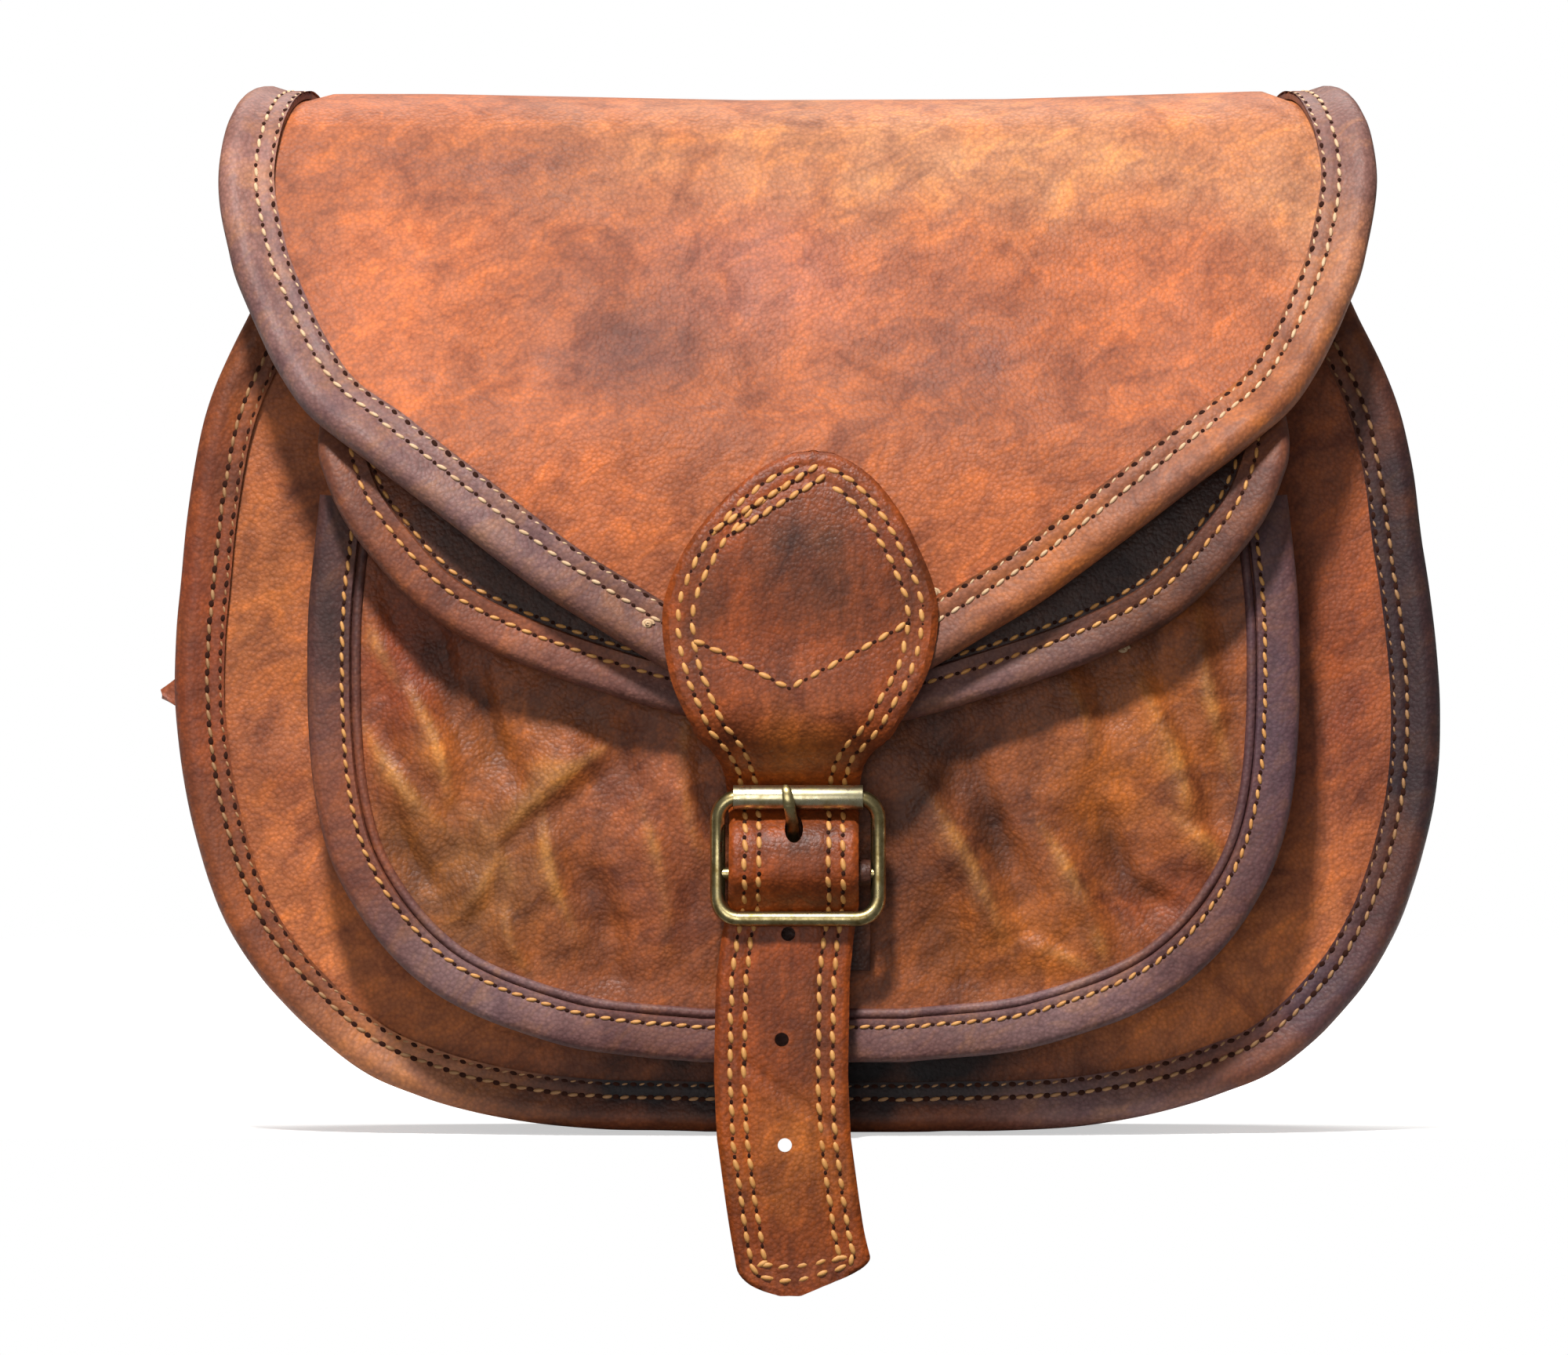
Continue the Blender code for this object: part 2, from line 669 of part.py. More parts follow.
def build_closure_strap():
    """The spade tab and its billet in one doubled piece, sewn on the flap, through the buckle."""
    profile = strap_profile()
    neck = BAR_HEIGHT + BAR_TO_ROLLER + ROLLER_RADIUS
    keys = []
    for share, part in SPADE_SHAPE:
        keys.append((share * SPADE_WIDTH / 2, profile.level(neck + part * (SPADE_TOP - neck))))
    half_width = STRAP_WIDTH / 2
    keys.append((half_width, profile.level(neck)))
    rows = smooth(keys, FLAP_STEPS)
    low = -profile.length()
    corner = STRAP_WIDTH / 8
    bends = profile.level(BAR_HEIGHT - BAR_TO_HEEL - WIRE_RADIUS)
    steps = round((rows[-1][1] - bends) / (2 * MM))
    start = rows[-1][1]
    rows += [Vector((half_width, start + (bends - start) * (i + 1) / steps)) for i in range(steps)]
    for share in (0.25, 0.5, 0.75):
        rows.append(Vector((half_width, bends + share * (low + corner - bends))))
    for angle in (0, 30, 60):
        turn = math.radians(angle)
        rows.append(Vector((
            half_width - corner * (1 - math.cos(turn)), low + corner * (1 - math.sin(turn)))))
    rows.append(Vector((half_width - corner, low)))
    shift = STRAP_LEATHER / 2
    surface = profile.surface()
    pivot = place(0, *flap_profile().points[0])
    strap = skin(
        "closure_strap", rows, lambda x, level, lift: surface(x, level, lift + shift),
        STRAP_LEATHER, leather("closure_strap", "strap"), pivot=pivot, columns=2)
    tongue_hole = BAR_HEIGHT + TONGUE_HOLE_SHARE * BAR_TO_ROLLER
    punches = []
    for i in range(HOLE_COUNT):
        height = tongue_hole - i * HOLE_PITCH
        middle = profile.at(profile.down_to(height))[0]
        spot = place(0, middle[0], height)
        punch = cylinder(HOLE_RADIUS, PUNCH_LENGTH, spot, Vector((0, 1, 0)), HOLE_SIDES)
        if i == 0:
            stretch = TONGUE_SLOT / (2 * HOLE_RADIUS)
            bmesh.ops.scale(
                punch, verts=punch.verts, vec=(1, 1, stretch), space=Matrix.Translation(-spot))
        punches.append(punch)
    combine(strap, "billet_punch", join(punches), "DIFFERENCE")


def across_x(y, height, x):
    """A ribbon's point where the line runs in the side view and the width along X."""
    return place(x, y, height)


def across_y(x, height, y):
    """A ribbon's point where the line runs in the front view and the width along Y."""
    return place(x, y, height)


def build_buckle():
    """The roller buckle on its chape: a bowed wire frame with a centre bar, a roller and a tongue."""
    bar = buckle_bar()
    frame_y = bar[0] - BUCKLE_BOW
    half_width = STRAP_WIDTH / 2 + BUCKLE_SIDE_CLEARANCE + WIRE_RADIUS
    top = BAR_HEIGHT + BAR_TO_ROLLER
    heel = BAR_HEIGHT - BAR_TO_HEEL
    pivot = place(0, bar[0], bar[1])

    def bowed(height):
        share = (height - heel) / (top - heel)
        return frame_y + BUCKLE_BOW * math.sin(math.pi * min(1.0, max(0.0, share)))

    line = rounded_rectangle(half_width, heel, top, 2 * WIRE_RADIUS)
    line.insert(len(line) // 2, (-half_width, BAR_HEIGHT))
    line.append((half_width, BAR_HEIGHT))
    points = [place(x, bowed(height), height) for x, height in line]
    wire = bevelled_curve("buckle_frame", points, WIRE_RADIUS, True)
    frame = add_object("buckle_frame", wire, brass("buckle_frame"), pivot)
    bar_length = 2 * half_width
    bar_spot = place(0, bowed(BAR_HEIGHT), BAR_HEIGHT)
    centre = cylinder(BAR_RADIUS, bar_length, bar_spot, Vector((1, 0, 0)), WIRE_SIDES)
    combine(frame, "buckle_centre_bar", centre, "UNION")

    roller_length = 2 * (half_width - 2 * WIRE_RADIUS - GAP)
    roller_spot = place(0, frame_y, top)
    roller = add_object(
        "buckle_roller", cylinder(ROLLER_RADIUS, roller_length, roller_spot, Vector((1, 0, 0))),
        brass("buckle_roller"), roller_spot)
    bore = cylinder(WIRE_RADIUS + GAP, 1.2 * roller_length, roller_spot, Vector((1, 0, 0)))
    combine(roller, "roller_bore", bore, "DIFFERENCE")

    ring = BAR_RADIUS + LOOSE_FIT + TONGUE_THICKNESS / 2
    rest = ROLLER_RADIUS + GAP + TONGUE_THICKNESS / 2
    curl = arc(bar, ring, -240, 45, 14)
    hook = arc((frame_y, top), rest, 215, 150, 4)
    line = curl + [bar + Vector((0.0, 0.25 * BAR_TO_ROLLER))] + hook
    tongue = ribbon(line, TONGUE_THICKNESS, TONGUE_WIDTH / 2, across_x)
    add_object("buckle_tongue", tongue, brass("buckle_tongue"), pivot)

    loop = BAR_RADIUS + LOOSE_FIT + LOOP_LEATHER / 2
    sewn = on_pocket(0, BAR_HEIGHT, 0).y - GAP - LOOP_LEATHER / 2
    outer = sewn - LOOP_LEATHER - GAP
    foot = BAR_HEIGHT - BAR_TO_HEEL - CHAPE_FOOT
    head = BAR_HEIGHT - BAR_TO_HEEL - 0.35 * CHAPE_FOOT
    fold = arc(bar, loop, 20, 262, 12)
    layer = Vector((1.02 * (LOOP_LEATHER + GAP), 0))
    line = [Vector((sewn, height)) for height in (foot, (foot + head) / 2, head)] + fold
    line += [Vector((sewn, head)).lerp(fold[0], share) - layer for share in (0.6, 0.3)]
    line += [Vector((outer, height)) for height in (head, (foot + head) / 2, foot)]
    folded = ribbon(line, LOOP_LEATHER, STRAP_WIDTH / 2, across_x)
    chape = add_object("buckle_chape", folded, leather("buckle_chape", "strap"))
    slot_low = place(-CHAPE_SLOT / 2, bar[0] - 2 * BUCKLE_STAND, BAR_HEIGHT - 1.6 * loop)
    slot_high = place(CHAPE_SLOT / 2, bar[0] + 2 * BUCKLE_STAND, BAR_HEIGHT + 3 * loop)
    combine(chape, "chape_slot", block(slot_low, slot_high), "DIFFERENCE")


def build_sling_ring(side, word):
    """A rectangular wire ring in a folded leather tab sewn on the gusset's top."""
    bar_x, bar_height = ring_bar(side)
    half_width = SLING_WIDTH / 2 + RING_SIDE_CLEARANCE + RING_WIRE
    reach = RING_INNER + 2 * RING_WIRE
    inwards = Vector((-side * math.sin(RING_LEAN), math.cos(RING_LEAN)))
    points = []
    for across, along in rounded_rectangle(half_width, 0.0, reach, 2 * RING_WIRE):
        points.append(place(bar_x + along * inwards[0], across, bar_height + along * inwards[1]))
    pivot = place(bar_x, 0, bar_height)
    name = "sling_ring_" + word
    add_object(name, bevelled_curve(name, points, RING_WIRE, True), brass(name), pivot)

    loop = RING_WIRE + GAP + LOOP_LEATHER / 2
    inner = WALL_OUTER + LOOSE_FIT + LOOP_LEATHER / 2
    outer = inner + LOOP_LEATHER + GAP
    drops = [share * TAB_LENGTH for share in (1.0, 0.75, 0.5, 0.25)]
    line = []
    for drop in drops:
        line.append(body_edge(bar_height - drop, inner))
    line += arc((abs(bar_x), bar_height), loop, 195, -15, 10)
    for drop in reversed(drops[:3]):
        line.append(body_edge(bar_height - drop, outer))
    line = [Vector((side * spot[0], spot[1])) for spot in line]
    name = "ring_tab_" + word
    look = leather(name, "strap")
    add_object(name, ribbon(line, LOOP_LEATHER, SLING_WIDTH / 2, across_y), look)


def sling_drop(side, floor, inner_end):
    """A strap's line from its lap on the ring, over the ring's top bar and down to the floor."""
    bar_x, bar_height = ring_bar(1)
    reach = RING_INNER + 2 * RING_WIRE
    top = Vector((bar_x - reach * math.sin(RING_LEAN), bar_height + reach * math.cos(RING_LEAN)))
    loop = RING_WIRE + GAP + SLING_LEATHER / 2
    lap_x = top[0] - loop
    line = [Vector((lap_x, top[1] - share * SLING_LAP)) for share in (1.0, 0.66, 0.33)]
    line += arc(top, loop, 180, 0, 8)
    main_x = top[0] + loop
    fall = top[1] - floor
    keys = [
        (main_x - inwards * fall, top[1] - down * fall) for inwards, down in SLING_FALL
    ]
    keys.append((inner_end, floor))
    line += smooth(keys, 3)
    return [Vector((side * spot[0], spot[1])) for spot in line]


def build_sling():
    """The sling tucked inside: a long strap folded to and fro, and a short one with the buckle."""
    layer = SLING_LEATHER + 2 * GAP
    half_run = SLING_RUN / 2
    floor = floor_height(half_run + layer) + GAP + SLING_LEATHER / 2
    line = sling_drop(1, floor, half_run)
    for run in range(SLING_RUNS):
        height = floor + run * layer
        heading = -1 if run % 2 == 0 else 1
        end_x = heading * half_run
        if run < SLING_RUNS - 1:
            turn = arc((end_x, height + layer / 2), layer / 2, -90, 90, 6)
            if heading < 0:
                turn = [Vector((2 * end_x - spot[0], spot[1])) for spot in turn]
            line += turn
        else:
            line.append(Vector((end_x * 0.9, height)))
    long_strap = ribbon(line, SLING_LEATHER, SLING_WIDTH / 2, across_y)
    add_object("sling_long_strap", long_strap, leather("sling_long_strap", "strap"))

    pile = floor + (SLING_RUNS - 1) * layer + SLING_LEATHER / 2
    keeper_under = GAP + LOOP_LEATHER + GAP
    lower = pile + keeper_under + SLING_LEATHER / 2
    loop = SLING_BUCKLE_WIRE + GAP + SLING_LEATHER / 2
    bar_x = -0.2 * SLING_RUN
    line = sling_drop(-1, lower, 0.56 * SLING_RUN)
    line += arc((bar_x, lower + loop), loop, -90, 90, 8)
    upper = lower + 2 * loop
    line.append(Vector((bar_x - 0.5 * SLING_LAP, upper)))
    line.append(Vector((bar_x - SLING_LAP, upper)))
    short = add_object(
        "sling_short_strap", ribbon(line, SLING_LEATHER, SLING_WIDTH / 2, across_y),
        leather("sling_short_strap", "strap"))
    slot_low = place(bar_x - 1.6 * loop, -CHAPE_SLOT / 2, lower - loop)
    slot_high = place(bar_x + 3 * loop, CHAPE_SLOT / 2, upper + loop)
    combine(short, "sling_slot", block(slot_low, slot_high), "DIFFERENCE")

    plane = lower + loop
    half_width = SLING_WIDTH / 2 + RING_SIDE_CLEARANCE + SLING_BUCKLE_WIRE
    far_x = bar_x + SLING_BUCKLE_LENGTH
    points = []
    for across, along in rounded_rectangle(half_width, bar_x, far_x, 2 * SLING_BUCKLE_WIRE):
        points.append(place(along, across, plane))
    frame = bevelled_curve("sling_buckle_frame", points, SLING_BUCKLE_WIRE, True)
    add_object("sling_buckle_frame", frame, brass("sling_buckle_frame"))

    ring = SLING_BUCKLE_WIRE + GAP + TONGUE_THICKNESS / 2
    rest = plane + ring
    line = arc((bar_x, plane), ring, -30, -270, 12)
    for x in (bar_x + 0.3 * SLING_BUCKLE_LENGTH, far_x, far_x + 1.5 * SLING_BUCKLE_WIRE):
        line.append(Vector((x, rest)))
    tongue = ribbon(line, TONGUE_THICKNESS, TONGUE_WIDTH / 2, across_y)
    add_object("sling_buckle_tongue", tongue, brass("sling_buckle_tongue"), place(bar_x, 0, plane))

    half_across = SLING_WIDTH / 2 + GAP
    half_tall = (upper - lower + SLING_LEATHER) / 2 + GAP
    middle = (upper + lower) / 2
    keeper_x = bar_x - 0.62 * SLING_LAP

    def sleeve(half_long, wall):
        across = half_across + wall
        tall = half_tall + wall
        return block(
            place(keeper_x - half_long, -across, middle - tall),
            place(keeper_x + half_long, across, middle + tall))

    outer = sleeve(KEEPER_WIDTH / 2, LOOP_LEATHER)
    keeper = add_object("sling_keeper", outer, leather("sling_keeper", "strap"))
    window = sleeve(KEEPER_WIDTH, 0.0)
    combine(keeper, "keeper_window", window, "DIFFERENCE")


def main():
    clear_scene()
    build_body()
    build_pocket()
    build_pocket_flap()
    build_flap()
    build_closure_strap()
    build_buckle()
    build_sling_ring(1, "right")
    build_sling_ring(-1, "left")
    build_sling()


main()
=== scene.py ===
"""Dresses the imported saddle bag: lofted leather shells, rolled edges, seams of thread, brass and light."""

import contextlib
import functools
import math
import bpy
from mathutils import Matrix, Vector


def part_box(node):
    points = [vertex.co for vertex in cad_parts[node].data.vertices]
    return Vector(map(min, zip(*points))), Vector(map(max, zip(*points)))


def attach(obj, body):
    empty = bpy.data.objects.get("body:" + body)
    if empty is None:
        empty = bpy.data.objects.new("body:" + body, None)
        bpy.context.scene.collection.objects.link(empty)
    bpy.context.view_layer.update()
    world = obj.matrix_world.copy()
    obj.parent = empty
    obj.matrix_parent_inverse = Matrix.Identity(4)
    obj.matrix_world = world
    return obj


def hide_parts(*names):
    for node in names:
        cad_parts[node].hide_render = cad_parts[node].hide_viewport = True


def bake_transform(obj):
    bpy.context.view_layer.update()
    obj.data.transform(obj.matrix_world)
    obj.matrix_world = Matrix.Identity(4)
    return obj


bl_info = {
    "name": "Small leather saddle bag",
    "version": (1, 0, 0),
    "blender": (4, 5, 0),
    "location": "3D View > Sidebar > Saddle Bag",
    "description": "Leather shells, rolled edges, saddle stitches and antique brass for a small saddle bag",
    "category": "Object",
}

import bpy
import numpy as np
from mathutils import Vector

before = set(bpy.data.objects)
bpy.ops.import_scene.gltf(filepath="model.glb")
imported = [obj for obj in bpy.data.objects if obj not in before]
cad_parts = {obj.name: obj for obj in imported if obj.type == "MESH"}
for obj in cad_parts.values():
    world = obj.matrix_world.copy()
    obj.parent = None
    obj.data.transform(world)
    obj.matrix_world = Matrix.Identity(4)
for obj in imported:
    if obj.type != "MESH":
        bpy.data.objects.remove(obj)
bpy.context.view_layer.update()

MM = 0.001

# Heights are measured from the bag's base, and the frame starts at the sling rings
RING_HEIGHT = 168 * MM

# The leather's thicknesses and the room between its layers
PANEL = 1.8 * MM
GAP = 0.3 * MM
BENT_GAP = 0.75 * MM
LAYER_CLEARANCE = 0.8 * MM
BINDING = 1.2 * MM
GUSSET = 1.5 * MM
STRAP = 2.0 * MM
EDGE_STACK = PANEL + BENT_GAP + BINDING
EDGE_RISE = BENT_GAP + BINDING
PANEL_EDGE = BINDING + GAP

# The body, whose depth narrows by the taper from its base to the top of its back
WALL_OUTER = -6.8 * MM
BASE_DEPTH = 54 * MM
TAPER = 18 * MM
BODY_BELLY = 4 * MM
BODY_WIDTH = 240 * MM
BACK_HEIGHT = 185 * MM
MOUTH_HEIGHT = 170 * MM

# The pocket and the two flaps
POCKET_WIDTH = 189 * MM
POCKET_BOTTOM = 14 * MM
POCKET_TOP = 122 * MM
POCKET_DEPTH = 16 * MM
POCKET_BELLY = 2.5 * MM
POCKET_FLAP_WIDTH = 185 * MM
POCKET_FLAP_ROOT = 152 * MM
POCKET_FLAP_TIP = 77 * MM
FLAP_WIDTH = 222 * MM
FLAP_TIP = 78 * MM
FLAP_ARCH = 14 * MM
FLAP_SHIFT = 1.1 * MM

# The closure strap, and the buckle's place from its centre bar up to the roller and down to the heel
SPADE_TOP = 130 * MM
SPADE_WIDTH = 52 * MM
STRAP_WIDTH = 25.4 * MM
STRAP_END = -30 * MM
BAR_HEIGHT = 50 * MM
BAR_RADIUS = 1.2 * MM
TO_ROLLER = 14.5 * MM
TO_HEEL = 8.5 * MM
BOW = 2 * MM
STAND = 7 * MM
WIRE = 1.5 * MM
ROLLER = 2.6 * MM
RING_WIRE = 1.5 * MM

# Outlines from the top corner to the middle of the base: (share of half width, share of height)
BODY_SHAPE = (
    (0.833, 1.0), (0.883, 0.93), (0.967, 0.78), (1.0, 0.5), (0.925, 0.26),
    (0.75, 0.1), (0.6, 0.04), (0.4, 0.008), (0.15, 0.0),
)
POCKET_SHAPE = (
    (0.975, 1.0), (1.0, 0.75), (0.985, 0.47), (0.91, 0.28), (0.74, 0.12), (0.476, 0.028), (0.21, 0.0),
)
POCKET_FLAP_SHAPE = (
    (0.995, 0.77), (0.98, 0.63), (0.914, 0.48), (0.757, 0.28), (0.53, 0.147),
    (0.25, 0.04), (0.086, 0.0),
)
POCKET_FLAP_TOP = 0.93 * POCKET_FLAP_WIDTH / 2
FLAP_SHAPE = (
    (0.977, 0.84), (0.946, 0.75), (0.892, 0.636), (0.81, 0.533), (0.62, 0.379), (0.435, 0.234),
    (0.23, 0.103), (0.12, 0.04), (0.045, 0.0),
)
SPADE_SHAPE = (
    (0.03, 1.0), (0.2, 0.985), (0.48, 0.91), (0.76, 0.77), (0.96, 0.6), (1.0, 0.47), (0.92, 0.31),
    (0.72, 0.15),
)


def linear(code):
    """Turns an sRGB hex colour into linear light."""
    values = [int(code[i:i + 2], 16) / 255 for i in (1, 3, 5)]
    return tuple(v / 12.92 if v <= 0.04045 else ((v + 0.055) / 1.055) ** 2.4 for v in values)


# ---- lines and surfaces ----

def clamp(values):
    return np.clip(values, 0, 1)


def half_depth(height):
    """How far the front and back panels lie from the middle at this height."""
    return (BASE_DEPTH - TAPER * height / BACK_HEIGHT) / 2


def belly(x, height):
    """How far the filled bag pushes its front panel out."""
    across = np.maximum(0, 1 - (2 * x / BODY_WIDTH) ** 2)
    return BODY_BELLY * across * np.sin(np.pi * clamp(height / BACK_HEIGHT))


def place(x, y, height):
    """Points by their height above the base, moved to the frame that starts at the rings."""
    x, y, height = np.broadcast_arrays(x, y, height)
    return np.stack((x, y, height - RING_HEIGHT), axis=-1)


def on_front(x, height, lift):
    """Lifted forward off the front panel."""
    return place(x, -half_depth(height) - belly(x, height) - lift, height)


def on_back(x, height, lift):
    """Lifted backward off the back panel."""
    return place(x, half_depth(height) + lift, height)


def on_pocket(x, height, lift):
    """Lifted forward off the pocket panel."""
    across = np.maximum(0, 1 - (2 * x / POCKET_WIDTH) ** 2)
    along = clamp((height - POCKET_BOTTOM) / (POCKET_TOP - POCKET_BOTTOM))
    swell = POCKET_BELLY * across * np.sin(np.pi * along)
    return on_front(x, height, POCKET_DEPTH + swell + lift)


def curve(keys, steps=16):
    """A dense Catmull-Rom line through the keys."""
    keys = np.array(keys, float)
    ends = np.vstack((2 * keys[0] - keys[1], keys, 2 * keys[-1] - keys[-2]))
    points = []
    for k in range(1, len(ends) - 2):
        a, b, c, d = ends[k - 1:k + 3]
        for t in np.arange(steps) / steps:
            points.append(0.5 * (2 * b + (c - a) * t + (2 * a - 5 * b + 4 * c - d) * t ** 2
                                 + (3 * b - a - 3 * c + d) * t ** 3))
    points.append(ends[-2])
    return np.array(points)


def lengths(line):
    """The distance run along the line at each of its points."""
    steps = np.linalg.norm(np.diff(line, axis=0), axis=1)
    return np.concatenate(((0,), np.cumsum(steps)))


def even(line, spacing):
    """The line cut into equal steps of about this length."""
    run = lengths(line)
    count = max(2, round(run[-1] / spacing))
    spots = np.linspace(0, run[-1], count + 1)
    return np.stack([np.interp(spots, run, line[:, i]) for i in range(line.shape[1])], axis=1)


def unit(vectors):
    return vectors / np.linalg.norm(vectors, axis=-1, keepdims=True)


def normals(line):
    """Outward normals of an outline that runs down the right side first."""
    tangents = unit(np.gradient(line, axis=0))
    return np.stack((-tangents[:, 1], tangents[:, 0]), axis=1)


def inset(line, offset):
    """The outline moved outwards by the offset, or inwards where it is negative."""
    return line + offset * normals(line)


def mirrored(half):
    return np.vstack((half, (half * (-1, 1))[::-1]))


def outline(shape, width, bottom, top):
    """The right half of a piece from its table of shares."""
    keys = [(share * width / 2, bottom + part * (top - bottom)) for share, part in shape]
    return curve(keys)


# How far the soft body sags outwards on its right and left, by height, both in mm
RIGHT_SAG = (
    (0, 6.0), (10, 6.6), (19, 7.4), (28, 6.8), (37, 5.6), (46, 4.8), (64, 4.0), (82, 2.4),
    (100, 0.8), (112, 0),
)
LEFT_SAG = ((0, 0.5), (10, 1.0), (19, 1.8), (28, 2.4), (37, 2.0), (46, 1.5), (64, 1.2), (82, 0.9), (104, 0))


def sag(x, height):
    """The sideways shift of the body's outline at this height, to the side that x lies on."""
    right, left = (np.interp(height / MM, *zip(*table)) for table in (RIGHT_SAG, LEFT_SAG))
    return np.where(x > 0, right, -left) * MM


def body_line(spacing):
    """The body's whole outline, sagged, in even steps."""
    line = mirrored(outline(BODY_SHAPE, BODY_WIDTH, 0, MOUTH_HEIGHT))
    line[:, 0] += sag(line[:, 0], line[:, 1])
    return even(line, spacing)


def rows_of(half, offset, spacing):
    """Rows of (half width, height) down the inset half outline."""
    moved = inset(mirrored(half), offset)[:len(half)]
    return even(moved, spacing)


class Profile:
    """A side view line, as y and height, that a piece is bent along."""

    def __init__(self, keys):
        self.line = curve(keys, 24)
        self.run = lengths(self.line)
        tangents = unit(np.gradient(self.line, self.run, axis=0))
        self.normals = np.stack((tangents[:, 1], -tangents[:, 0]), axis=1)
        self.crest = int(np.argmax(self.line[:, 1]))

    def level(self, height):
        """The flat pattern's height: minus the distance to where the falling part passes this height."""
        falling = slice(self.crest, None)
        return -float(np.interp(-height, -self.line[falling, 1], self.run[falling]))

    def spot(self, distance):
        """The line's y and height and its normal's, at this distance along it."""
        return [np.interp(distance, self.run, values) for values in (*self.line.T, *self.normals.T)]

    def point(self, x, level, lift):
        """Lifted off the line at this level of the flat pattern."""
        y, height, ny, nh = self.spot(-np.asarray(level))
        return place(x, y + lift * ny, height + lift * nh)


def pocket_flap_profile():
    """From the root sewn on the body over the pocket's edge and down in front of it."""
    lift = POCKET_DEPTH + POCKET_BELLY + LAYER_CLEARANCE + EDGE_STACK + EDGE_RISE / 2
    fall = POCKET_FLAP_ROOT - POCKET_FLAP_TIP
    keys = [(-half_depth(h) - belly(0, h) - PANEL - GAP / 2, h)
            for h in (POCKET_FLAP_ROOT + 9 * MM, POCKET_FLAP_ROOT + 4 * MM)]
    for part, share in ((1.0, 0.07), (0.973, 0.30), (0.887, 0.61), (0.76, 0.85), (0.6, 0.975),
                        (0.373, 1.0), (0.0, 0.98)):
        height = POCKET_FLAP_TIP + part * fall
        keys.append((-half_depth(height) - belly(0, height) - share * lift, height))
    return Profile(keys)


def flap_profile():
    """From the lap sewn on the back panel over the top and down in front of the pocket flap."""
    back = half_depth(BACK_HEIGHT)
    inner = pocket_flap_profile()
    spread = EDGE_RISE + LAYER_CLEARANCE + EDGE_STACK
    keys = [
        (half_depth(171 * MM) + 2.2 * MM, 171 * MM), (half_depth(178 * MM) + 2.2 * MM, 178 * MM),
        (back + 2.1 * MM, BACK_HEIGHT), (17.6 * MM, 191.6 * MM), (12.6 * MM, 195.9 * MM),
        (0.0, BACK_HEIGHT + FLAP_ARCH), (-0.85 * back, BACK_HEIGHT + 0.72 * FLAP_ARCH),
        (-1.42 * back, BACK_HEIGHT - 0.15 * FLAP_ARCH),
    ]
    for part in (0.86, 0.72, 0.56, 0.36):
        height = POCKET_FLAP_TIP + part * (POCKET_FLAP_ROOT - POCKET_FLAP_TIP)
        y, spot, ny, nh = inner.spot(-inner.level(height))
        keys.append((y + spread * ny, spot + spread * nh))
    keys.append((inner.line[-1, 0] - spread, FLAP_TIP))
    return Profile(keys)


def strap_profile():
    """The closure strap's middle line: down the flap, under the roller and over the centre bar."""
    rise = EDGE_RISE + GAP + STRAP / 2
    keys = []
    for share in (1.0, 0.66, 0.33, 0.0):
        height = FLAP_TIP + share * (SPADE_TOP - FLAP_TIP)
        y, spot, ny, nh = FLAP.spot(-FLAP.level(height))
        keys.append((y + rise * ny, spot + rise * nh))
    under_roller = FRAME_Y + ROLLER + 2.2 * MM + STRAP / 2
    over_bar = BAR_Y - (BAR_RADIUS + 2.6 * MM + STRAP / 2)
    under_heel = FRAME_Y + WIRE + GAP + STRAP / 2
    keys += [
        (under_roller, BAR_HEIGHT + 1.1 * TO_ROLLER), (under_roller, BAR_HEIGHT + 0.9 * TO_ROLLER),
        (over_bar + 1.4 * MM, BAR_HEIGHT + 0.5 * TO_ROLLER),
        (over_bar, BAR_HEIGHT + 0.18 * TO_HEEL), (over_bar, BAR_HEIGHT - 0.12 * TO_HEEL),
        (under_heel, BAR_HEIGHT - 0.9 * TO_HEEL), (under_heel, BAR_HEIGHT - 1.3 * TO_HEEL),
        (under_heel - 0.6 * MM, (BAR_HEIGHT - TO_HEEL + STRAP_END) / 2), (under_heel + STRAP, STRAP_END),
    ]
    line = even(curve(keys, 24), 0.5 * MM)
    reach = 8
    weights = np.hanning(2 * reach + 1)
    weights = weights / weights.sum()
    soft = line.copy()
    soft[reach:-reach] = np.stack([np.convolve(line[:, k], weights, "valid") for k in range(2)], axis=1)
    return Profile(soft[::3])


def tongue_line():
    """The buckle tongue's middle line, round the bar and up through the strap to the roller's front."""
    top = BAR_HEIGHT + TO_ROLLER
    line = np.vstack((arc((BAR_Y, BAR_HEIGHT), BAR_RADIUS + 1.1 * MM, -240, 45, 24),
                      [(BAR_Y + 0.4 * MM, BAR_HEIGHT + 0.38 * TO_ROLLER)],
                      arc((FRAME_Y, top), ROLLER + GAP + 0.6 * MM, 215, 140, 8)))
    return even(curve(line, 4), 0.5 * MM)


def slot_height():
    """Where the tongue comes through the strap."""
    line = tongue_line()
    rising = line[line[:, 1] > BAR_HEIGHT + 3.5 * MM]
    strap = np.interp(-rising[:, 1], -STRAP_LINE.line[:, 1], STRAP_LINE.line[:, 0])
    return float(rising[np.argmin(np.abs(rising[:, 0] - strap)), 1])


def on_flap(x, level, lift):
    """On the main flap, which lies a little left of the body's middle."""
    return FLAP.point(x - FLAP_SHIFT, level, lift)


# How far back the buckle's centre bar and the ends of its bowed frame lie
BAR_Y = float(on_pocket(0, BAR_HEIGHT, STAND)[1])
FRAME_Y = BAR_Y - BOW

POCKET_FLAP = pocket_flap_profile()
FLAP = flap_profile()
STRAP_LINE = strap_profile()


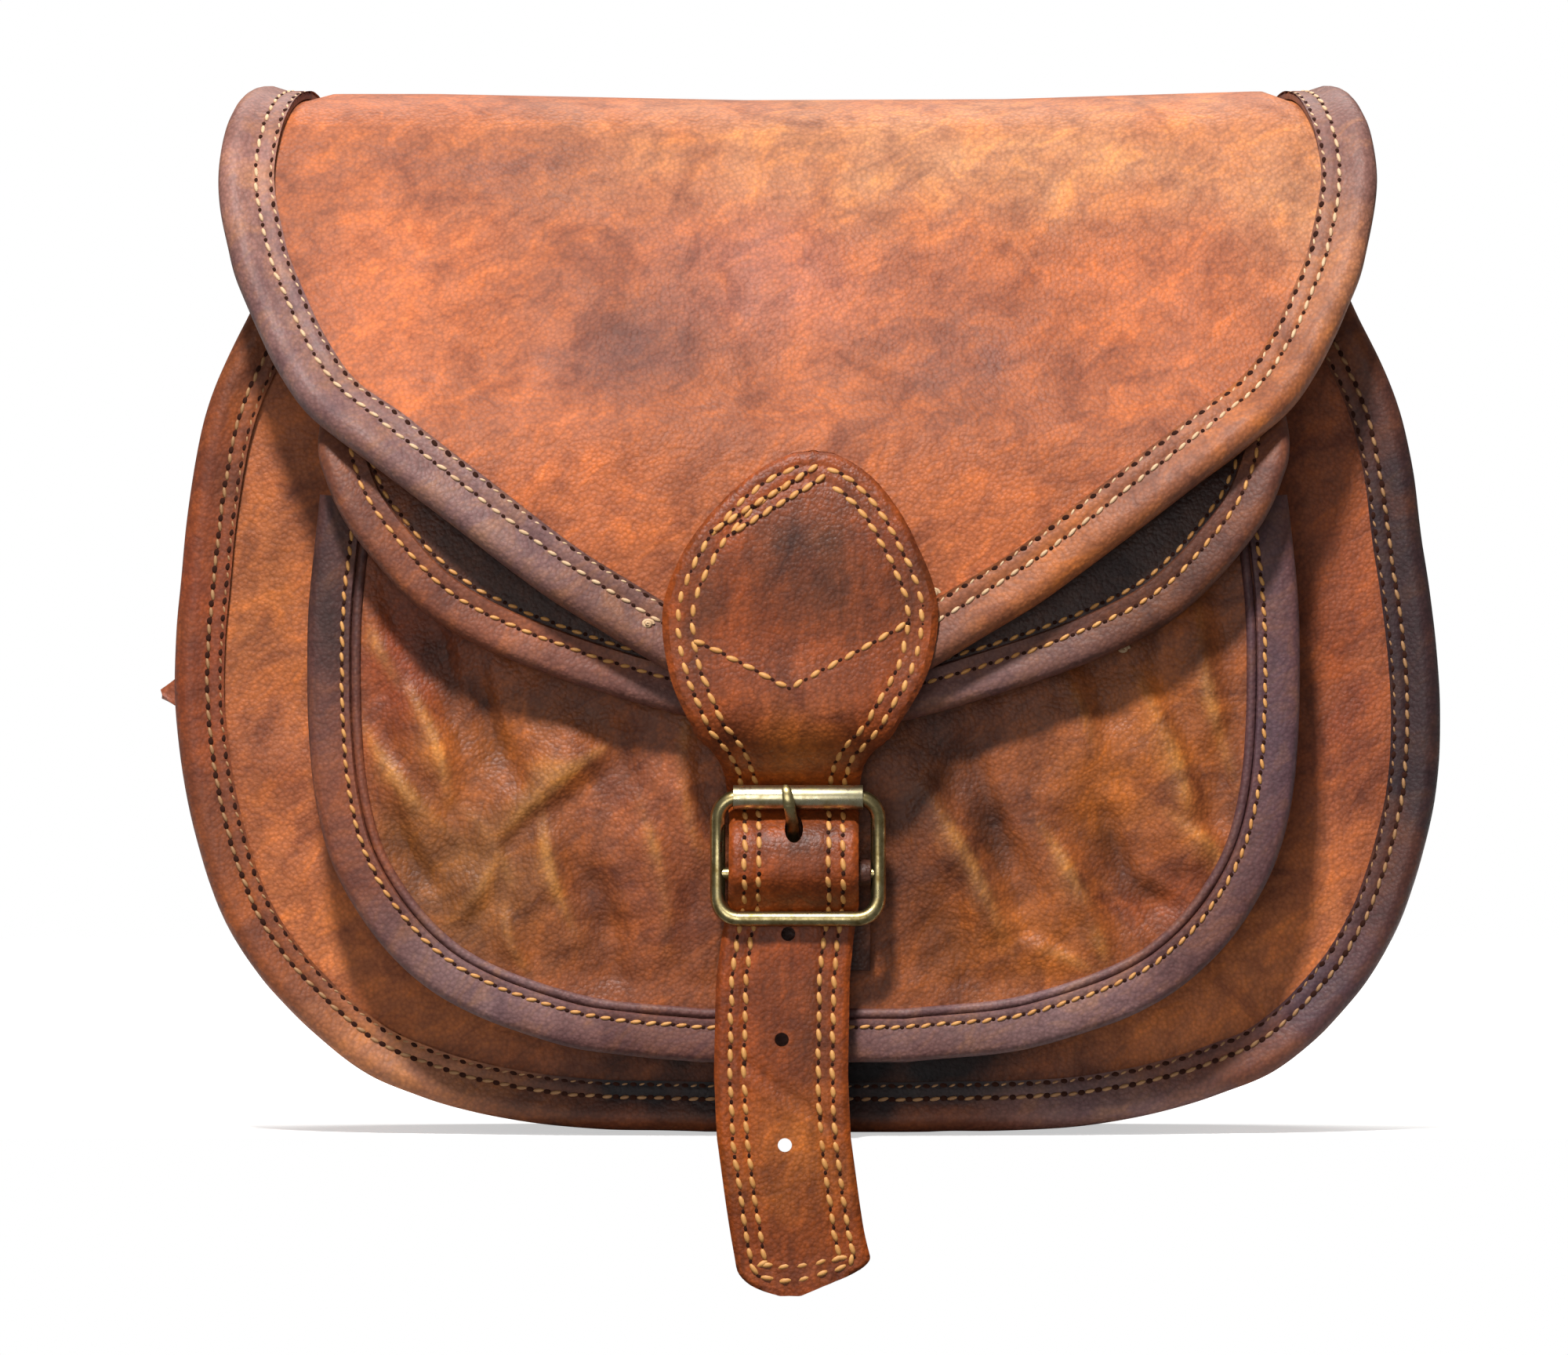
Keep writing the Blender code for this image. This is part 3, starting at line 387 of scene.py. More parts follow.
def cloud(points, size, seed):
    """Smooth noise between -1 and 1 in blotches of this size, the same each run."""
    lattice = np.random.RandomState(seed).uniform(-1, 1, (32, 32, 32))
    spot = np.asarray(points) / size
    cell = np.floor(spot).astype(int)
    t = spot - cell
    t = t * t * (3 - 2 * t)
    total = np.zeros(len(spot))
    for corner in np.ndindex(2, 2, 2):
        weight = np.prod(np.where(corner, t, 1 - t), axis=1)
        i, j, k = ((cell + corner) % 32).T
        total += weight * lattice[i, j, k]
    return total


def distance_to(points, line):
    """How far each flat point is from the line's nearest corner."""
    return np.sqrt(((points[:, None, :] - line[None, :, :]) ** 2).sum(axis=2).min(axis=1))


def as_points(x, height, depth=0.0):
    """Flat points with a third coordinate, the same for all."""
    return np.stack((x, height, np.full(len(x), depth)), axis=1)


def arc(centre, radius, start, end, steps):
    angles = np.radians(np.linspace(start, end, steps + 1))
    return np.stack((centre[0] + radius * np.cos(angles), centre[1] + radius * np.sin(angles)), axis=1)


def rounded_rectangle(half_width, low, high, corner):
    corners = ((half_width - corner, high - corner, 0), (corner - half_width, high - corner, 90),
               (corner - half_width, low + corner, 180), (half_width - corner, low + corner, 270))
    return np.vstack([arc((x, y), corner, start, start + 90, 8) for x, y, start in corners])


# ---- meshes ----

# Points closer than this are one point of the same rolled or bent surface
MERGE = 0.002 * MM


def coordinates(piece):
    """The piece's corners as an array of xyz."""
    values = np.empty(len(piece.data.vertices) * 3)
    piece.data.vertices.foreach_get("co", values)
    return values.reshape(-1, 3)


def move(piece, points):
    """Puts the piece's corners at these points."""
    piece.data.vertices.foreach_set("co", np.asarray(points, float).ravel())
    piece.data.update()


def only(piece):
    """Makes this the one selected and active object."""
    bpy.ops.object.select_all(action="DESELECT")
    piece.select_set(True)
    bpy.context.view_layer.objects.active = piece


def add_grid(name, columns, rows):
    """A flat grid from -1 to 1, named as the piece that it becomes."""
    bpy.ops.object.select_all(action="DESELECT")
    bpy.ops.mesh.primitive_grid_add(x_subdivisions=columns, y_subdivisions=rows, size=2)
    piece = bpy.context.object
    piece.name = name
    piece.data.name = name
    return piece


def apply(piece, kind, **settings):
    """Adds a modifier with its settings and applies it."""
    only(piece)
    change = piece.modifiers.new(kind.lower(), kind)
    for key, value in settings.items():
        setattr(change, key, value)
    bpy.ops.object.modifier_apply(modifier=change.name)


def ease(piece, width, segments=3):
    """Rounds a piece's sharp edges."""
    apply(piece, "BEVEL", width=width, segments=segments, limit_method="ANGLE", angle_limit=math.radians(50))


def smooth_shade(piece, degrees=40):
    """Shades a piece smooth across its edges below this angle."""
    only(piece)
    bpy.ops.object.shade_smooth_by_angle(angle=math.radians(degrees))


@contextlib.contextmanager
def all_in_edit_mode(piece):
    """Opens a piece in edit mode with all of it selected, and closes it afterwards."""
    only(piece)
    bpy.ops.object.mode_set(mode="EDIT")
    bpy.ops.mesh.select_all(action="SELECT")
    yield
    bpy.ops.object.mode_set(mode="OBJECT")


def close_tube(piece):
    """Joins a rolled grid along its seam, caps its ends and turns its faces out."""
    with all_in_edit_mode(piece):
        bpy.ops.mesh.remove_doubles(threshold=MERGE)
        bpy.ops.mesh.select_all(action="DESELECT")
        bpy.ops.mesh.select_mode(type="EDGE")
        bpy.ops.mesh.select_non_manifold()
        bpy.ops.mesh.fill_holes(sides=0)
        bpy.ops.mesh.select_all(action="SELECT")
        bpy.ops.mesh.normals_make_consistent(inside=False)


def thicken(piece, thickness):
    """Makes a grid a sheet of leather: the outer face and the rim in slot 0, the flesh side in slot 1."""
    fill_slots(piece, [None, None])
    apply(piece, "SOLIDIFY", thickness=thickness, offset=-1, use_even_offset=True, material_offset=1,
          material_offset_rim=0)
    smooth_shade(piece)


def sheet(name, rows, surface, columns, relief=None, facing=1, slumped=False):
    """A panel of leather whose outer face follows the surface over rows of (half width, height)."""
    piece = add_grid(name, columns, len(rows) - 1)
    flat = coordinates(piece)
    row = (1 - flat[:, 1]) / 2 * (len(rows) - 1)
    index = np.arange(len(rows))
    x = facing * flat[:, 0] * np.interp(row, index, rows[:, 0])
    height = np.interp(row, index, rows[:, 1])
    if slumped:
        x += np.abs(flat[:, 0]) * sag(x, height)
    lift = relief(x, height) if relief else np.zeros(len(x))
    move(piece, surface(x, height, lift))
    thicken(piece, PANEL)
    return piece


def loft(name, line, rings):
    """A strip of leather through rings, each the outline moved to one place across the strip."""
    piece = add_grid(name, len(rings) - 1, len(line) - 1)
    flat = coordinates(piece)
    i = np.rint((1 - flat[:, 1]) / 2 * (len(line) - 1)).astype(int)
    j = np.rint((flat[:, 0] + 1) / 2 * (len(rings) - 1)).astype(int)
    move(piece, np.stack(rings, axis=1)[i, j])
    return piece


def sweep(name, rings):
    """A closed tube, from the lines that run along it one after another round its section."""
    points = np.stack(rings, axis=1)
    count, around = points.shape[:2]
    piece = add_grid(name, around, count - 1)
    flat = coordinates(piece)
    i = np.rint((flat[:, 1] + 1) / 2 * (count - 1)).astype(int)
    j = np.rint((flat[:, 0] + 1) / 2 * around).astype(int) % around
    move(piece, points[i, j])
    close_tube(piece)
    smooth_shade(piece)
    return piece


def edge_section(front, back, wide, rows, lower, corner, crown):
    """The folded edge's outline in mm, as (offset from the rim, lift): a stitched band and a soft roll.

    It reaches from the front to the back lift and this wide from the rim, with a groove pulled in at each
    row of stitches, and ends in a roll of this corner radius that stands by its crown above the band.
    """
    groove_half, groove_depth = 0.7, 0.24
    points = [(-wide, lower), (-wide, 0.62 * front), (-wide + 0.3, front - 0.12)]
    for row in sorted(rows, reverse=True):
        points += [(-row - groove_half, front + 0.02), (-row, front - groove_depth),
                   (-row + groove_half, front + 0.02)]
    last = min(rows)
    points += [(-0.62 * last, front + 0.7 * crown), (-0.5 * last, front + crown)]
    for turn, centre in ((range(85, -1, -17), front + crown - corner), (range(0, -86, -17), back + corner)):
        for angle in map(math.radians, turn):
            points.append((corner * (math.cos(angle) - 1), centre + corner * math.sin(angle)))
    inner = back + BINDING / MM
    points += [(-wide + 2, back + 0.05), (-wide + 2, inner), (-1.25, inner), (-1.25, 0.3), (-wide + 1, lower)]
    kept = [points[0]]
    for point in points[1:]:
        if math.dist(point, kept[-1]) > 0.12:
            kept.append(point)
    return np.array(kept) * MM


def rolled_edge(name, line, surface, section, seed, wobble=0.25 * MM):
    """A binding folded round an outline, with the small unevenness of work done by hand."""
    out = normals(line)
    at = as_points(line[:, 0], line[:, 1])
    puff = wobble * cloud(at, 14 * MM, seed)
    drift = wobble * cloud(at, 9 * MM, seed + 1)
    rings = []
    for offset, lift in section:
        stitched = offset < -5 * MM
        raised = 0.3 * puff if stitched else puff * np.clip(lift / MM, -1, 1)
        flat = line + (offset + 0.5 * drift)[:, None] * out
        rings.append(surface(flat[:, 0], flat[:, 1], lift + raised))
    return sweep(name, rings)


def wire(name, points, radius, cyclic=False, sides=6):
    """A round wire bent along points, joined end to end where it is cyclic."""
    line = bpy.data.curves.new(name, "CURVE")
    line.dimensions = "3D"
    line.bevel_depth = radius
    line.bevel_resolution = sides
    line.use_fill_caps = not cyclic
    spline = line.splines.new("POLY")
    spline.points.add(len(points) - 1)
    for spot, point in zip(spline.points, points):
        spot.co = (*point, 1)
    spline.use_cyclic_u = cyclic
    piece = bpy.data.objects.new(name, line)
    bpy.context.scene.collection.objects.link(piece)
    only(piece)
    bpy.ops.object.convert(target="MESH")
    piece = bpy.context.object
    piece.data.name = name
    with all_in_edit_mode(piece):
        bpy.ops.mesh.remove_doubles(threshold=MERGE)
        bpy.ops.mesh.normals_make_consistent(inside=False)
    smooth_shade(piece, 60)
    return piece


# ---- dyes ----

# The dyes that are rubbed into the leather by hand; some recipes below also use umber, soot, night, dusk,
# wine, tan and sand as painted shade and painted light
TONES = {
    "apricot": "#C2875C", "orange": "#B45F31", "rose": "#A5604A", "plum": "#74402F",
    "ochre": "#A65E30", "gold": "#A55C26", "olive": "#7F5029", "rust": "#7C3820", "tan": "#C2713F",
    "brick": "#86472A", "umber": "#4A2818", "sand": "#BE7C56", "mauve": "#80605E",
    "mist": "#A9786B", "soot": "#33211E", "night": "#170F12", "dusk": "#553D44", "wine": "#372425",
}
# The pale of the pocket creases' crests: rubbed wear and a painted highlight
RIDGE_WEAR_AND_HIGHLIGHT = "#B4793F"

# Where each tone is laid on, as rubbed dye or, where a table says so, as painted light or shade: (x, height,
# half width, half height in mm, dye, strength)
FLAP_DYE = ("#9C542F", (
    (30, 187, 66, 11, "apricot", 0.8), (-66, 184, 26, 7, "plum", 0.8), (-78, 158, 18, 22, "orange", 0.9),
    (98, 178, 12, 18, "apricot", 0.6), (-6, 163, 24, 12, "rose", 0.8), (-32, 149, 17, 11, "plum", 1.0),
    (62, 158, 26, 14, "orange", 0.8), (32, 146, 15, 11, "plum", 0.8), (-40, 122, 14, 12, "orange", 0.8),
    (34, 120, 14, 12, "orange", 0.7),
))
FLAP_EDGE_DYE = ("#724B40", (
    (-108, 184, 16, 16, "mist", 0.6), (-100, 150, 16, 24, "mauve", 0.7), (-64, 118, 30, 18, "mauve", 0.8),
    (108, 190, 14, 12, "mauve", 0.6), (104, 164, 16, 18, "sand", 0.6), (84, 141, 22, 18, "ochre", 0.9),
    (46, 110, 30, 20, "ochre", 0.9),
))
# The front panel: the night band under the pocket is a painted shadow, and the tan and ochre patches low on
# each side are painted light; the rest is dye
BODY_DYE_LIGHT_AND_SHADE = ("#9C5532", (
    (6, 14, 58, 9, "night", 1.4), (-103, 98, 13, 40, "ochre", 0.8), (-88, 36, 22, 16, "tan", 0.7),
    (-62, 22, 16, 9, "ochre", 0.8), (66, 22, 20, 9, "tan", 0.7), (90, 38, 18, 16, "tan", 0.9),
    (102, 92, 12, 34, "rust", 0.85), (98, 130, 12, 12, "brick", 0.6),
))
# The back takes the front's marks without its painted shadow, so it keeps the tan and ochre painted light low
# on each side
BACK_DYE_AND_LIGHT = ("#9A5A34", (
    *BODY_DYE_LIGHT_AND_SHADE[1][1:], (0, 90, 60, 40, "ochre", 0.8), (-30, 120, 30, 20, "brick", 0.7),
    (36, 60, 30, 22, "rust", 0.6), (-50, 50, 26, 18, "ochre", 0.7), (50, 130, 26, 16, "ochre", 0.7),
))
# The gusset takes the same marks, with that painted light
GUSSET_DYE_AND_LIGHT = ("#8E4E30", BODY_DYE_LIGHT_AND_SHADE[1][1:])
# The bindings: the night band along the bottom is a painted shadow under the pocket, the sand patch low on
# the left is painted light, and the dusk and wine down the right side are partly the binding's dark dye and
# partly painted shade on the side away from the light
BODY_EDGE_DYE_LIGHT_AND_SHADE = ("#774228", (
    (-116, 100, 10, 40, "rust", 0.8), (-104, 36, 18, 24, "brick", 0.8), (-74, 12, 22, 12, "sand", 1.0),
    (-36, 4, 18, 7, "brick", 0.8), (4, 9, 58, 8, "night", 1.7), (0, 0, 70, 3, "brick", 0.8),
    (62, 4, 24, 6, "mauve", 0.8), (100, 30, 24, 22, "dusk", 1.0), (116, 96, 16, 54, "wine", 1.6),
))
# The pocket: the umber right of the buckle and the umber band under the pocket flap's edge are painted shade;
# the rest is dye
POCKET_DYE_AND_SHADE = ("#834626", (
    (-76, 94, 16, 24, "rust", 0.9), (-60, 74, 16, 10, "gold", 0.6), (-66, 46, 20, 15, "olive", 0.9),
    (-28, 50, 13, 28, "brick", 0.8), (22, 62, 14, 26, "umber", 0.7), (44, 36, 16, 10, "gold", 0.9),
    (66, 72, 15, 24, "gold", 0.8), (68, 44, 12, 8, "rust", 0.8), (0, 86, 34, 10, "umber", 0.6),
))
POCKET_EDGE_DYE = ("#66403A", (
    (-91, 100, 9, 26, "soot", 0.8), (-86, 60, 12, 18, "brick", 0.8), (-62, 30, 24, 14, "mauve", 0.9),
    (46, 22, 34, 14, "mauve", 0.9), (89, 82, 12, 44, "dusk", 0.85),
))
POCKET_GUSSET_DYE = ("#5A3325", POCKET_EDGE_DYE[1])
# The pocket flap's dark base and the soot on its right are painted shade from the main flap that hangs over
# it
POCKET_FLAP_DYE_AND_SHADE = ("#3F2218", (
    (-84, 120, 14, 14, "brick", 0.7), (62, 108, 34, 26, "soot", 0.8),
))
# The umber on its right is painted shade under the main flap
POCKET_FLAP_EDGE_DYE_AND_SHADE = ("#6C4031", (
    (-60, 96, 36, 20, "brick", 0.8), (-44, 84, 30, 8, "mauve", 0.5), (66, 100, 30, 22, "umber", 0.8),
    (40, 84, 26, 8, "mauve", 0.6),
))
STRAP_DYE = ("#843C15", (
    (2, 109, 12, 15, "umber", 1.0), (-21, 98, 5, 16, "umber", 0.8), (22, 98, 5, 14, "umber", 0.8),
    (0, 83, 12, 6, "brick", 0.8), (-2, 76, 8, 5, "gold", 0.8), (0, 56, 8, 6, "umber", 0.8),
    (-1, 24, 8, 14, "umber", 0.6), (-2, -4, 10, 14, "gold", 0.8), (-2, -27, 9, 4, "brick", 0.9),
))
# The chape is dark all over: painted shade, as it lies behind the strap under the buckle
CHAPE_DYE_AND_SHADE = ("#4A2A1E", ())
SLING_DYE = ("#7B4628", ())
CORNER_DYE = ("#8A4A30", ())


def dye_light_and_shade(piece, recipe, seed, relief=None):
    """Paints a piece's colour into its attribute, blotch over blotch: the hand-rubbed dye, the painted light
    and shade that some recipes hold, and pale crests and dark valleys where a relief is given.
    """
    base, blotches = recipe
    points = coordinates(piece)
    # The blotches' outlines wander by up to about 5 mm
    warp = np.stack([cloud(points, 11 * MM, seed + k) * 4 + cloud(points, 4 * MM, seed + 5 + k) * 1.5
                     for k in range(2)], axis=1)
    x = points[:, 0] / MM + warp[:, 0]
    height = (points[:, 2] + RING_HEIGHT) / MM + warp[:, 1]
    colour = np.tile(np.array(linear(base)), (len(points), 1))
    for k, (middle_x, middle_h, wide, tall, tone, strength) in enumerate(blotches):
        reach = ((x - middle_x) / wide) ** 2 + ((height - middle_h) / tall) ** 2
        weight = strength * np.exp(-0.9 * reach) * (0.85 + 0.3 * cloud(points, 6 * MM, seed + 20 + k))
        colour += clamp(weight)[:, None] * (np.array(linear(TONES[tone])) - colour)
    # Crests painted pale as wear and highlight, and valleys darkened as painted shade
    if relief:
        rise = relief(points[:, 0], points[:, 2] + RING_HEIGHT)[:, None]
        colour += np.clip(0.8 * rise, 0, 0.75) * (np.array(linear(RIDGE_WEAR_AND_HIGHLIGHT)) - colour)
        colour *= 1 - np.clip(-0.7 * rise, 0, 0.55)
    unevenness = 1 + 0.10 * cloud(points, 16 * MM, seed + 60) + 0.07 * cloud(points, 5 * MM, seed + 61)
    colour = clamp(colour * unevenness[:, None])
    # The attribute holds the dye with any painted light and shade
    attribute = piece.data.attributes.new("dye_light_and_shade", "FLOAT_COLOR", "POINT")
    attribute.data.foreach_set("color", np.hstack((colour, np.ones((len(colour), 1)))).ravel())


# ---- materials ----

MIX = {"data_type": "RGBA"}
MULTIPLY = {"data_type": "RGBA", "blend_type": "MULTIPLY"}


def add_node(tree, kind, inputs=None, output=0, stops=(), **settings):
    """Adds a node and returns its first output, or the one that is named.

    Its properties and the grey stops of its ramp are set, and each input gets a value or another's output.
    """
    node = tree.nodes.new(kind)
    for key, value in settings.items():
        setattr(node, key, value)
    for key, value in (inputs or {}).items():
        if isinstance(value, bpy.types.NodeSocket):
            tree.links.new(value, node.inputs[key])
        else:
            node.inputs[key].default_value = value
    if stops:
        elements = node.color_ramp.elements
        for element, (position, grey) in zip(elements, (stops[0], stops[-1])):
            element.position, element.color = position, (grey, grey, grey, 1)
        for position, grey in stops[1:-1]:
            elements.new(position).color = (grey, grey, grey, 1)
    return node.outputs[output] if node.outputs else None


def new_material(name, finish, *values):
    """A material whose surface is the shader that the finish builds."""
    made = bpy.data.materials.new(name)
    made.use_nodes = True
    tree = made.node_tree
    tree.nodes.clear()
    add_node(tree, "ShaderNodeOutputMaterial", {"Surface": finish(tree, *values)})
    return made


def goat_leather(tree, roughness, grain, smoke, streaks=0.0):
    """Vegetable-tanned goat leather, rubbed with dye by hand: satin, pebbled and cloudy.

    The grain's cells are 0.8 mm across, a little coarser than goat's 0.5 mm so that they show.
    """
    spot = add_node(tree, "ShaderNodeTexCoord", output="Object")
    # The colour attribute: dye, with the painted light and shade that some pieces' recipes add
    colour = add_node(tree, "ShaderNodeAttribute", attribute_name="dye_light_and_shade")
    clouds = add_node(tree, "ShaderNodeTexNoise", {
        "Vector": spot, "Scale": 1 / (15 * MM), "Detail": 8, "Roughness": 0.66, "Distortion": 1.1})
    tilted = add_node(tree, "ShaderNodeMapping", {
        "Vector": spot, "Rotation": (0, math.radians(-38), 0), "Scale": (2.2, 1, 1)}, vector_type="TEXTURE")
    smears = add_node(tree, "ShaderNodeTexNoise", {
        "Vector": tilted, "Scale": 1 / (5 * MM), "Detail": 7, "Roughness": 0.68, "Distortion": 0.7})

    # Plum smoke, warm worn patches and dark drags of the cloth, each a tint that multiplies the dye
    for noise, stops, tint in (
            (clouds, ((0.5, 0.0), (0.66, smoke)), (0.42, 0.36, 0.52, 1)),
            (smears, ((0.48, 0.0), (0.68, 0.8)), (1.62, 1.5, 0.95, 1)),
            (smears, ((0.28, 1.2 * smoke), (0.47, 0.0)), (0.42, 0.34, 0.38, 1))):
        amount = add_node(tree, "ShaderNodeValToRGB", {"Fac": noise}, stops=stops)
        tinted = add_node(tree, "ShaderNodeMix", {0: 1.0, 6: colour, 7: tint}, 2, **MULTIPLY)
        colour = add_node(tree, "ShaderNodeMix", {0: amount, 6: colour, 7: tinted}, 2, **MIX)
    if streaks:
        stretched = add_node(tree, "ShaderNodeMapping", {"Vector": spot, "Scale": (1, 1, 0.2)})
        drag = add_node(tree, "ShaderNodeTexNoise", {
            "Vector": stretched, "Scale": 1 / (3.4 * MM), "Detail": 5, "Roughness": 0.62, "Distortion": 0.8})
        drawn = add_node(tree, "ShaderNodeValToRGB", {"Fac": drag},
                         stops=((0.34, 1 - streaks), (0.5, 1.0), (0.68, 1 + 1.4 * streaks)))
        colour = add_node(tree, "ShaderNodeMix", {0: 1.0, 6: colour, 7: drawn}, 2, **MULTIPLY)

    # The grain: dark pores between pebbles, which also stand up a little
    cells = add_node(tree, "ShaderNodeTexVoronoi", {
        "Vector": spot, "Scale": 1 / (0.8 * MM), "Randomness": 1.0}, feature="F1")
    pores = add_node(tree, "ShaderNodeValToRGB", {"Fac": cells}, stops=((0.2, 1.08), (0.8, 0.74)))
    colour = add_node(tree, "ShaderNodeMix", {0: 0.9, 6: colour, 7: pores}, 2, **MULTIPLY)
    fine = add_node(tree, "ShaderNodeTexNoise", {
        "Vector": spot, "Scale": 1 / (1.6 * MM), "Detail": 5, "Roughness": 0.7})
    pebbles = add_node(tree, "ShaderNodeMath", {0: cells, 1: -0.6}, operation="MULTIPLY")
    height = add_node(tree, "ShaderNodeMath", {0: pebbles, 1: fine}, operation="ADD")
    bump = add_node(tree, "ShaderNodeBump", {"Strength": grain, "Distance": 0.4 * MM, "Height": height})
    worn = add_node(tree, "ShaderNodeValToRGB", {"Fac": clouds},
                    stops=((0.3, roughness - 0.06), (0.7, roughness + 0.1)))
    return add_node(tree, "ShaderNodeBsdfPrincipled", {
        "Base Color": colour, "Roughness": worn, "Normal": bump, "IOR": 1.5, "Specular IOR Level": 0.26})


def suede(tree, code):
    """The flesh side of the leather: brushed nap, matt and even, in tufts about 0.7 mm across."""
    spot = add_node(tree, "ShaderNodeTexCoord", output="Object")
    nap = add_node(tree, "ShaderNodeTexNoise", {
        "Vector": spot, "Scale": 1 / (0.7 * MM), "Detail": 5, "Roughness": 0.75})
    shade = add_node(tree, "ShaderNodeValToRGB", {"Fac": nap}, stops=((0.3, 0.78), (0.7, 1.15)))
    colour = add_node(tree, "ShaderNodeMix", {0: 1.0, 6: (*linear(code), 1), 7: shade}, 2, **MULTIPLY)
    bump = add_node(tree, "ShaderNodeBump", {"Strength": 0.5, "Distance": 0.3 * MM, "Height": nap})
    return add_node(tree, "ShaderNodeBsdfPrincipled", {
        "Base Color": colour, "Roughness": 0.95, "Normal": bump, "Specular IOR Level": 0.2})


def waxed_thread(tree, dyed):
    """Waxed polyester saddler's thread: a soft sheen, shaded in patches of 2.5 mm by its twist."""
    colours = bpy.context.scene.saddle_bag_colours
    light, dark = (linear(getattr(colours, dyed + shade)) for shade in ("", "_dark"))
    spot = add_node(tree, "ShaderNodeTexCoord", output="Object")
    strands = add_node(tree, "ShaderNodeTexNoise", {"Vector": spot, "Scale": 1 / (2.5 * MM), "Detail": 3})
    colour = add_node(tree, "ShaderNodeMix", {0: strands, 6: (*dark, 1), 7: (*light, 1)}, 2, **MIX)
    return add_node(tree, "ShaderNodeBsdfPrincipled", {
        "Base Color": colour, "Roughness": 0.55, "Specular IOR Level": 0.4})


def needle_shadow(tree):
    """The dark mouth that the awl leaves in the leather beside each stitch: raw, rough fibre in shade."""
    return add_node(tree, "ShaderNodeBsdfPrincipled", {
        "Base Color": (*linear("#2E150C"), 1), "Roughness": 0.9, "Specular IOR Level": 0.15})


def antique_brass(tree, bright, dull):
    """Brass dipped to darken it, then buffed: pale on top, with brown left in a mottle of about 2 mm."""
    spot = add_node(tree, "ShaderNodeTexCoord", output="Object")
    tarnish = add_node(tree, "ShaderNodeTexNoise", {
        "Vector": spot, "Scale": 1 / (2.2 * MM), "Detail": 6, "Roughness": 0.65})
    amount = add_node(tree, "ShaderNodeValToRGB", {"Fac": tarnish}, stops=((0.38, 0.0), (0.66, 1.0)))
    colour = add_node(tree, "ShaderNodeMix", {
        0: amount, 6: (*linear(bright), 1), 7: (*linear(dull), 1)}, 2, **MIX)
    gloss = add_node(tree, "ShaderNodeValToRGB", {"Fac": tarnish}, stops=((0.35, 0.24), (0.7, 0.42)))
    bump = add_node(tree, "ShaderNodeBump", {"Strength": 0.15, "Distance": 0.1 * MM, "Height": tarnish})
    return add_node(tree, "ShaderNodeBsdfPrincipled", {
        "Base Color": colour, "Metallic": 1.0, "Roughness": gloss, "Normal": bump})


def matt_floor(tree, code):
    """A matt pale studio sweep, lifted where the camera sees it so that it comes out near white."""
    seen = add_node(tree, "ShaderNodeLightPath", output="Is Camera Ray")
    glow = add_node(tree, "ShaderNodeMath", {0: seen, 1: 0.55}, operation="MULTIPLY")
    return add_node(tree, "ShaderNodeBsdfPrincipled", {
        "Base Color": (*linear(code), 1), "Roughness": 0.9, "Specular IOR Level": 0.1,
        "Emission Color": (1, 1, 1, 1), "Emission Strength": glow})


# Each material's name, its finish and the finish's own values: for leather these are the roughness, the depth
# of the grain, the dark smoke in the dye and the streaks that it was dragged in
FINISHES = {
    "flap leather": ("Flap goat leather", goat_leather, 0.52, 0.55, 0.5),
    "body leather": ("Body goat leather", goat_leather, 0.5, 0.55, 0.6, 0.08),
    "pocket leather": ("Pocket goat leather", goat_leather, 0.42, 0.5, 0.65, 0.12),
    "edge leather": ("Rolled edge goat leather", goat_leather, 0.5, 0.4, 0.45),
    "strap leather": ("Strap goat leather", goat_leather, 0.42, 0.45, 0.55, 0.22),
    "suede": ("Unlined flesh side", suede, "#9A6A45"),
    "pale thread": ("Pale gold thread", waxed_thread, "pale_thread"),
    "gold thread": ("Orange gold thread", waxed_thread, "gold_thread"),
    "tan thread": ("Tan thread", waxed_thread, "tan_thread"),
    "needle": ("Awl holes", needle_shadow),
    "brass": ("Antique brass", antique_brass, "#C9B987", "#7E6C42"),
    "rubbed brass": ("Antique brass rubbed by the strap", antique_brass, "#E2D8B4", "#A39468"),
}


@functools.cache
def look(name):
    """Makes each material once, when the first piece asks for it."""
    return new_material(*FINISHES[name])


def fill_slots(piece, finishes):
    """Sets the piece's material slots, and leaves each face's own slot as it is."""
    slots = piece.data.materials
    while len(slots) < len(finishes):
        slots.append(None)
    while len(slots) > len(finishes):
        slots.pop()
    for k, finish in enumerate(finishes):
        slots[k] = finish


def dress(piece, body, slot, *looks):
    """Gives a piece its finishes and the body that it rides on; its slot is not used."""
    fill_slots(piece, [look(name) for name in looks])
    if body:
        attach(piece, body)
    return piece


# ---- thread ----

@functools.cache
def grain_shape():
    """One stitch or one awl hole, a rounded grain of a few dozen faces, modelled once."""
    bpy.ops.object.select_all(action="DESELECT")
    bpy.ops.mesh.primitive_uv_sphere_add(segments=8, ring_count=5, radius=1)
    master = bpy.context.object
    with all_in_edit_mode(master):
        bpy.ops.transform.rotate(value=math.radians(90), orient_axis="Y", center_override=(0, 0, 0))
    points = coordinates(master)
    faces = [list(face.vertices) for face in master.data.polygons]
    bpy.data.objects.remove(master, do_unlink=True)
    return points, faces


def seam(line, surface, lift, pitch):
    """Where each stitch of a row lies: its middle, its heading and the way out of the leather."""
    marks = even(line, pitch)
    middle = (marks[1:] + marks[:-1]) / 2
    start, end, centre, above = (surface(*flat.T, np.full(len(middle), off)) for flat, off in (
        (marks[:-1], lift), (marks[1:], lift), (middle, lift), (middle, lift + 1 * MM)))
    return centre, unit(end - start), unit(above - centre)


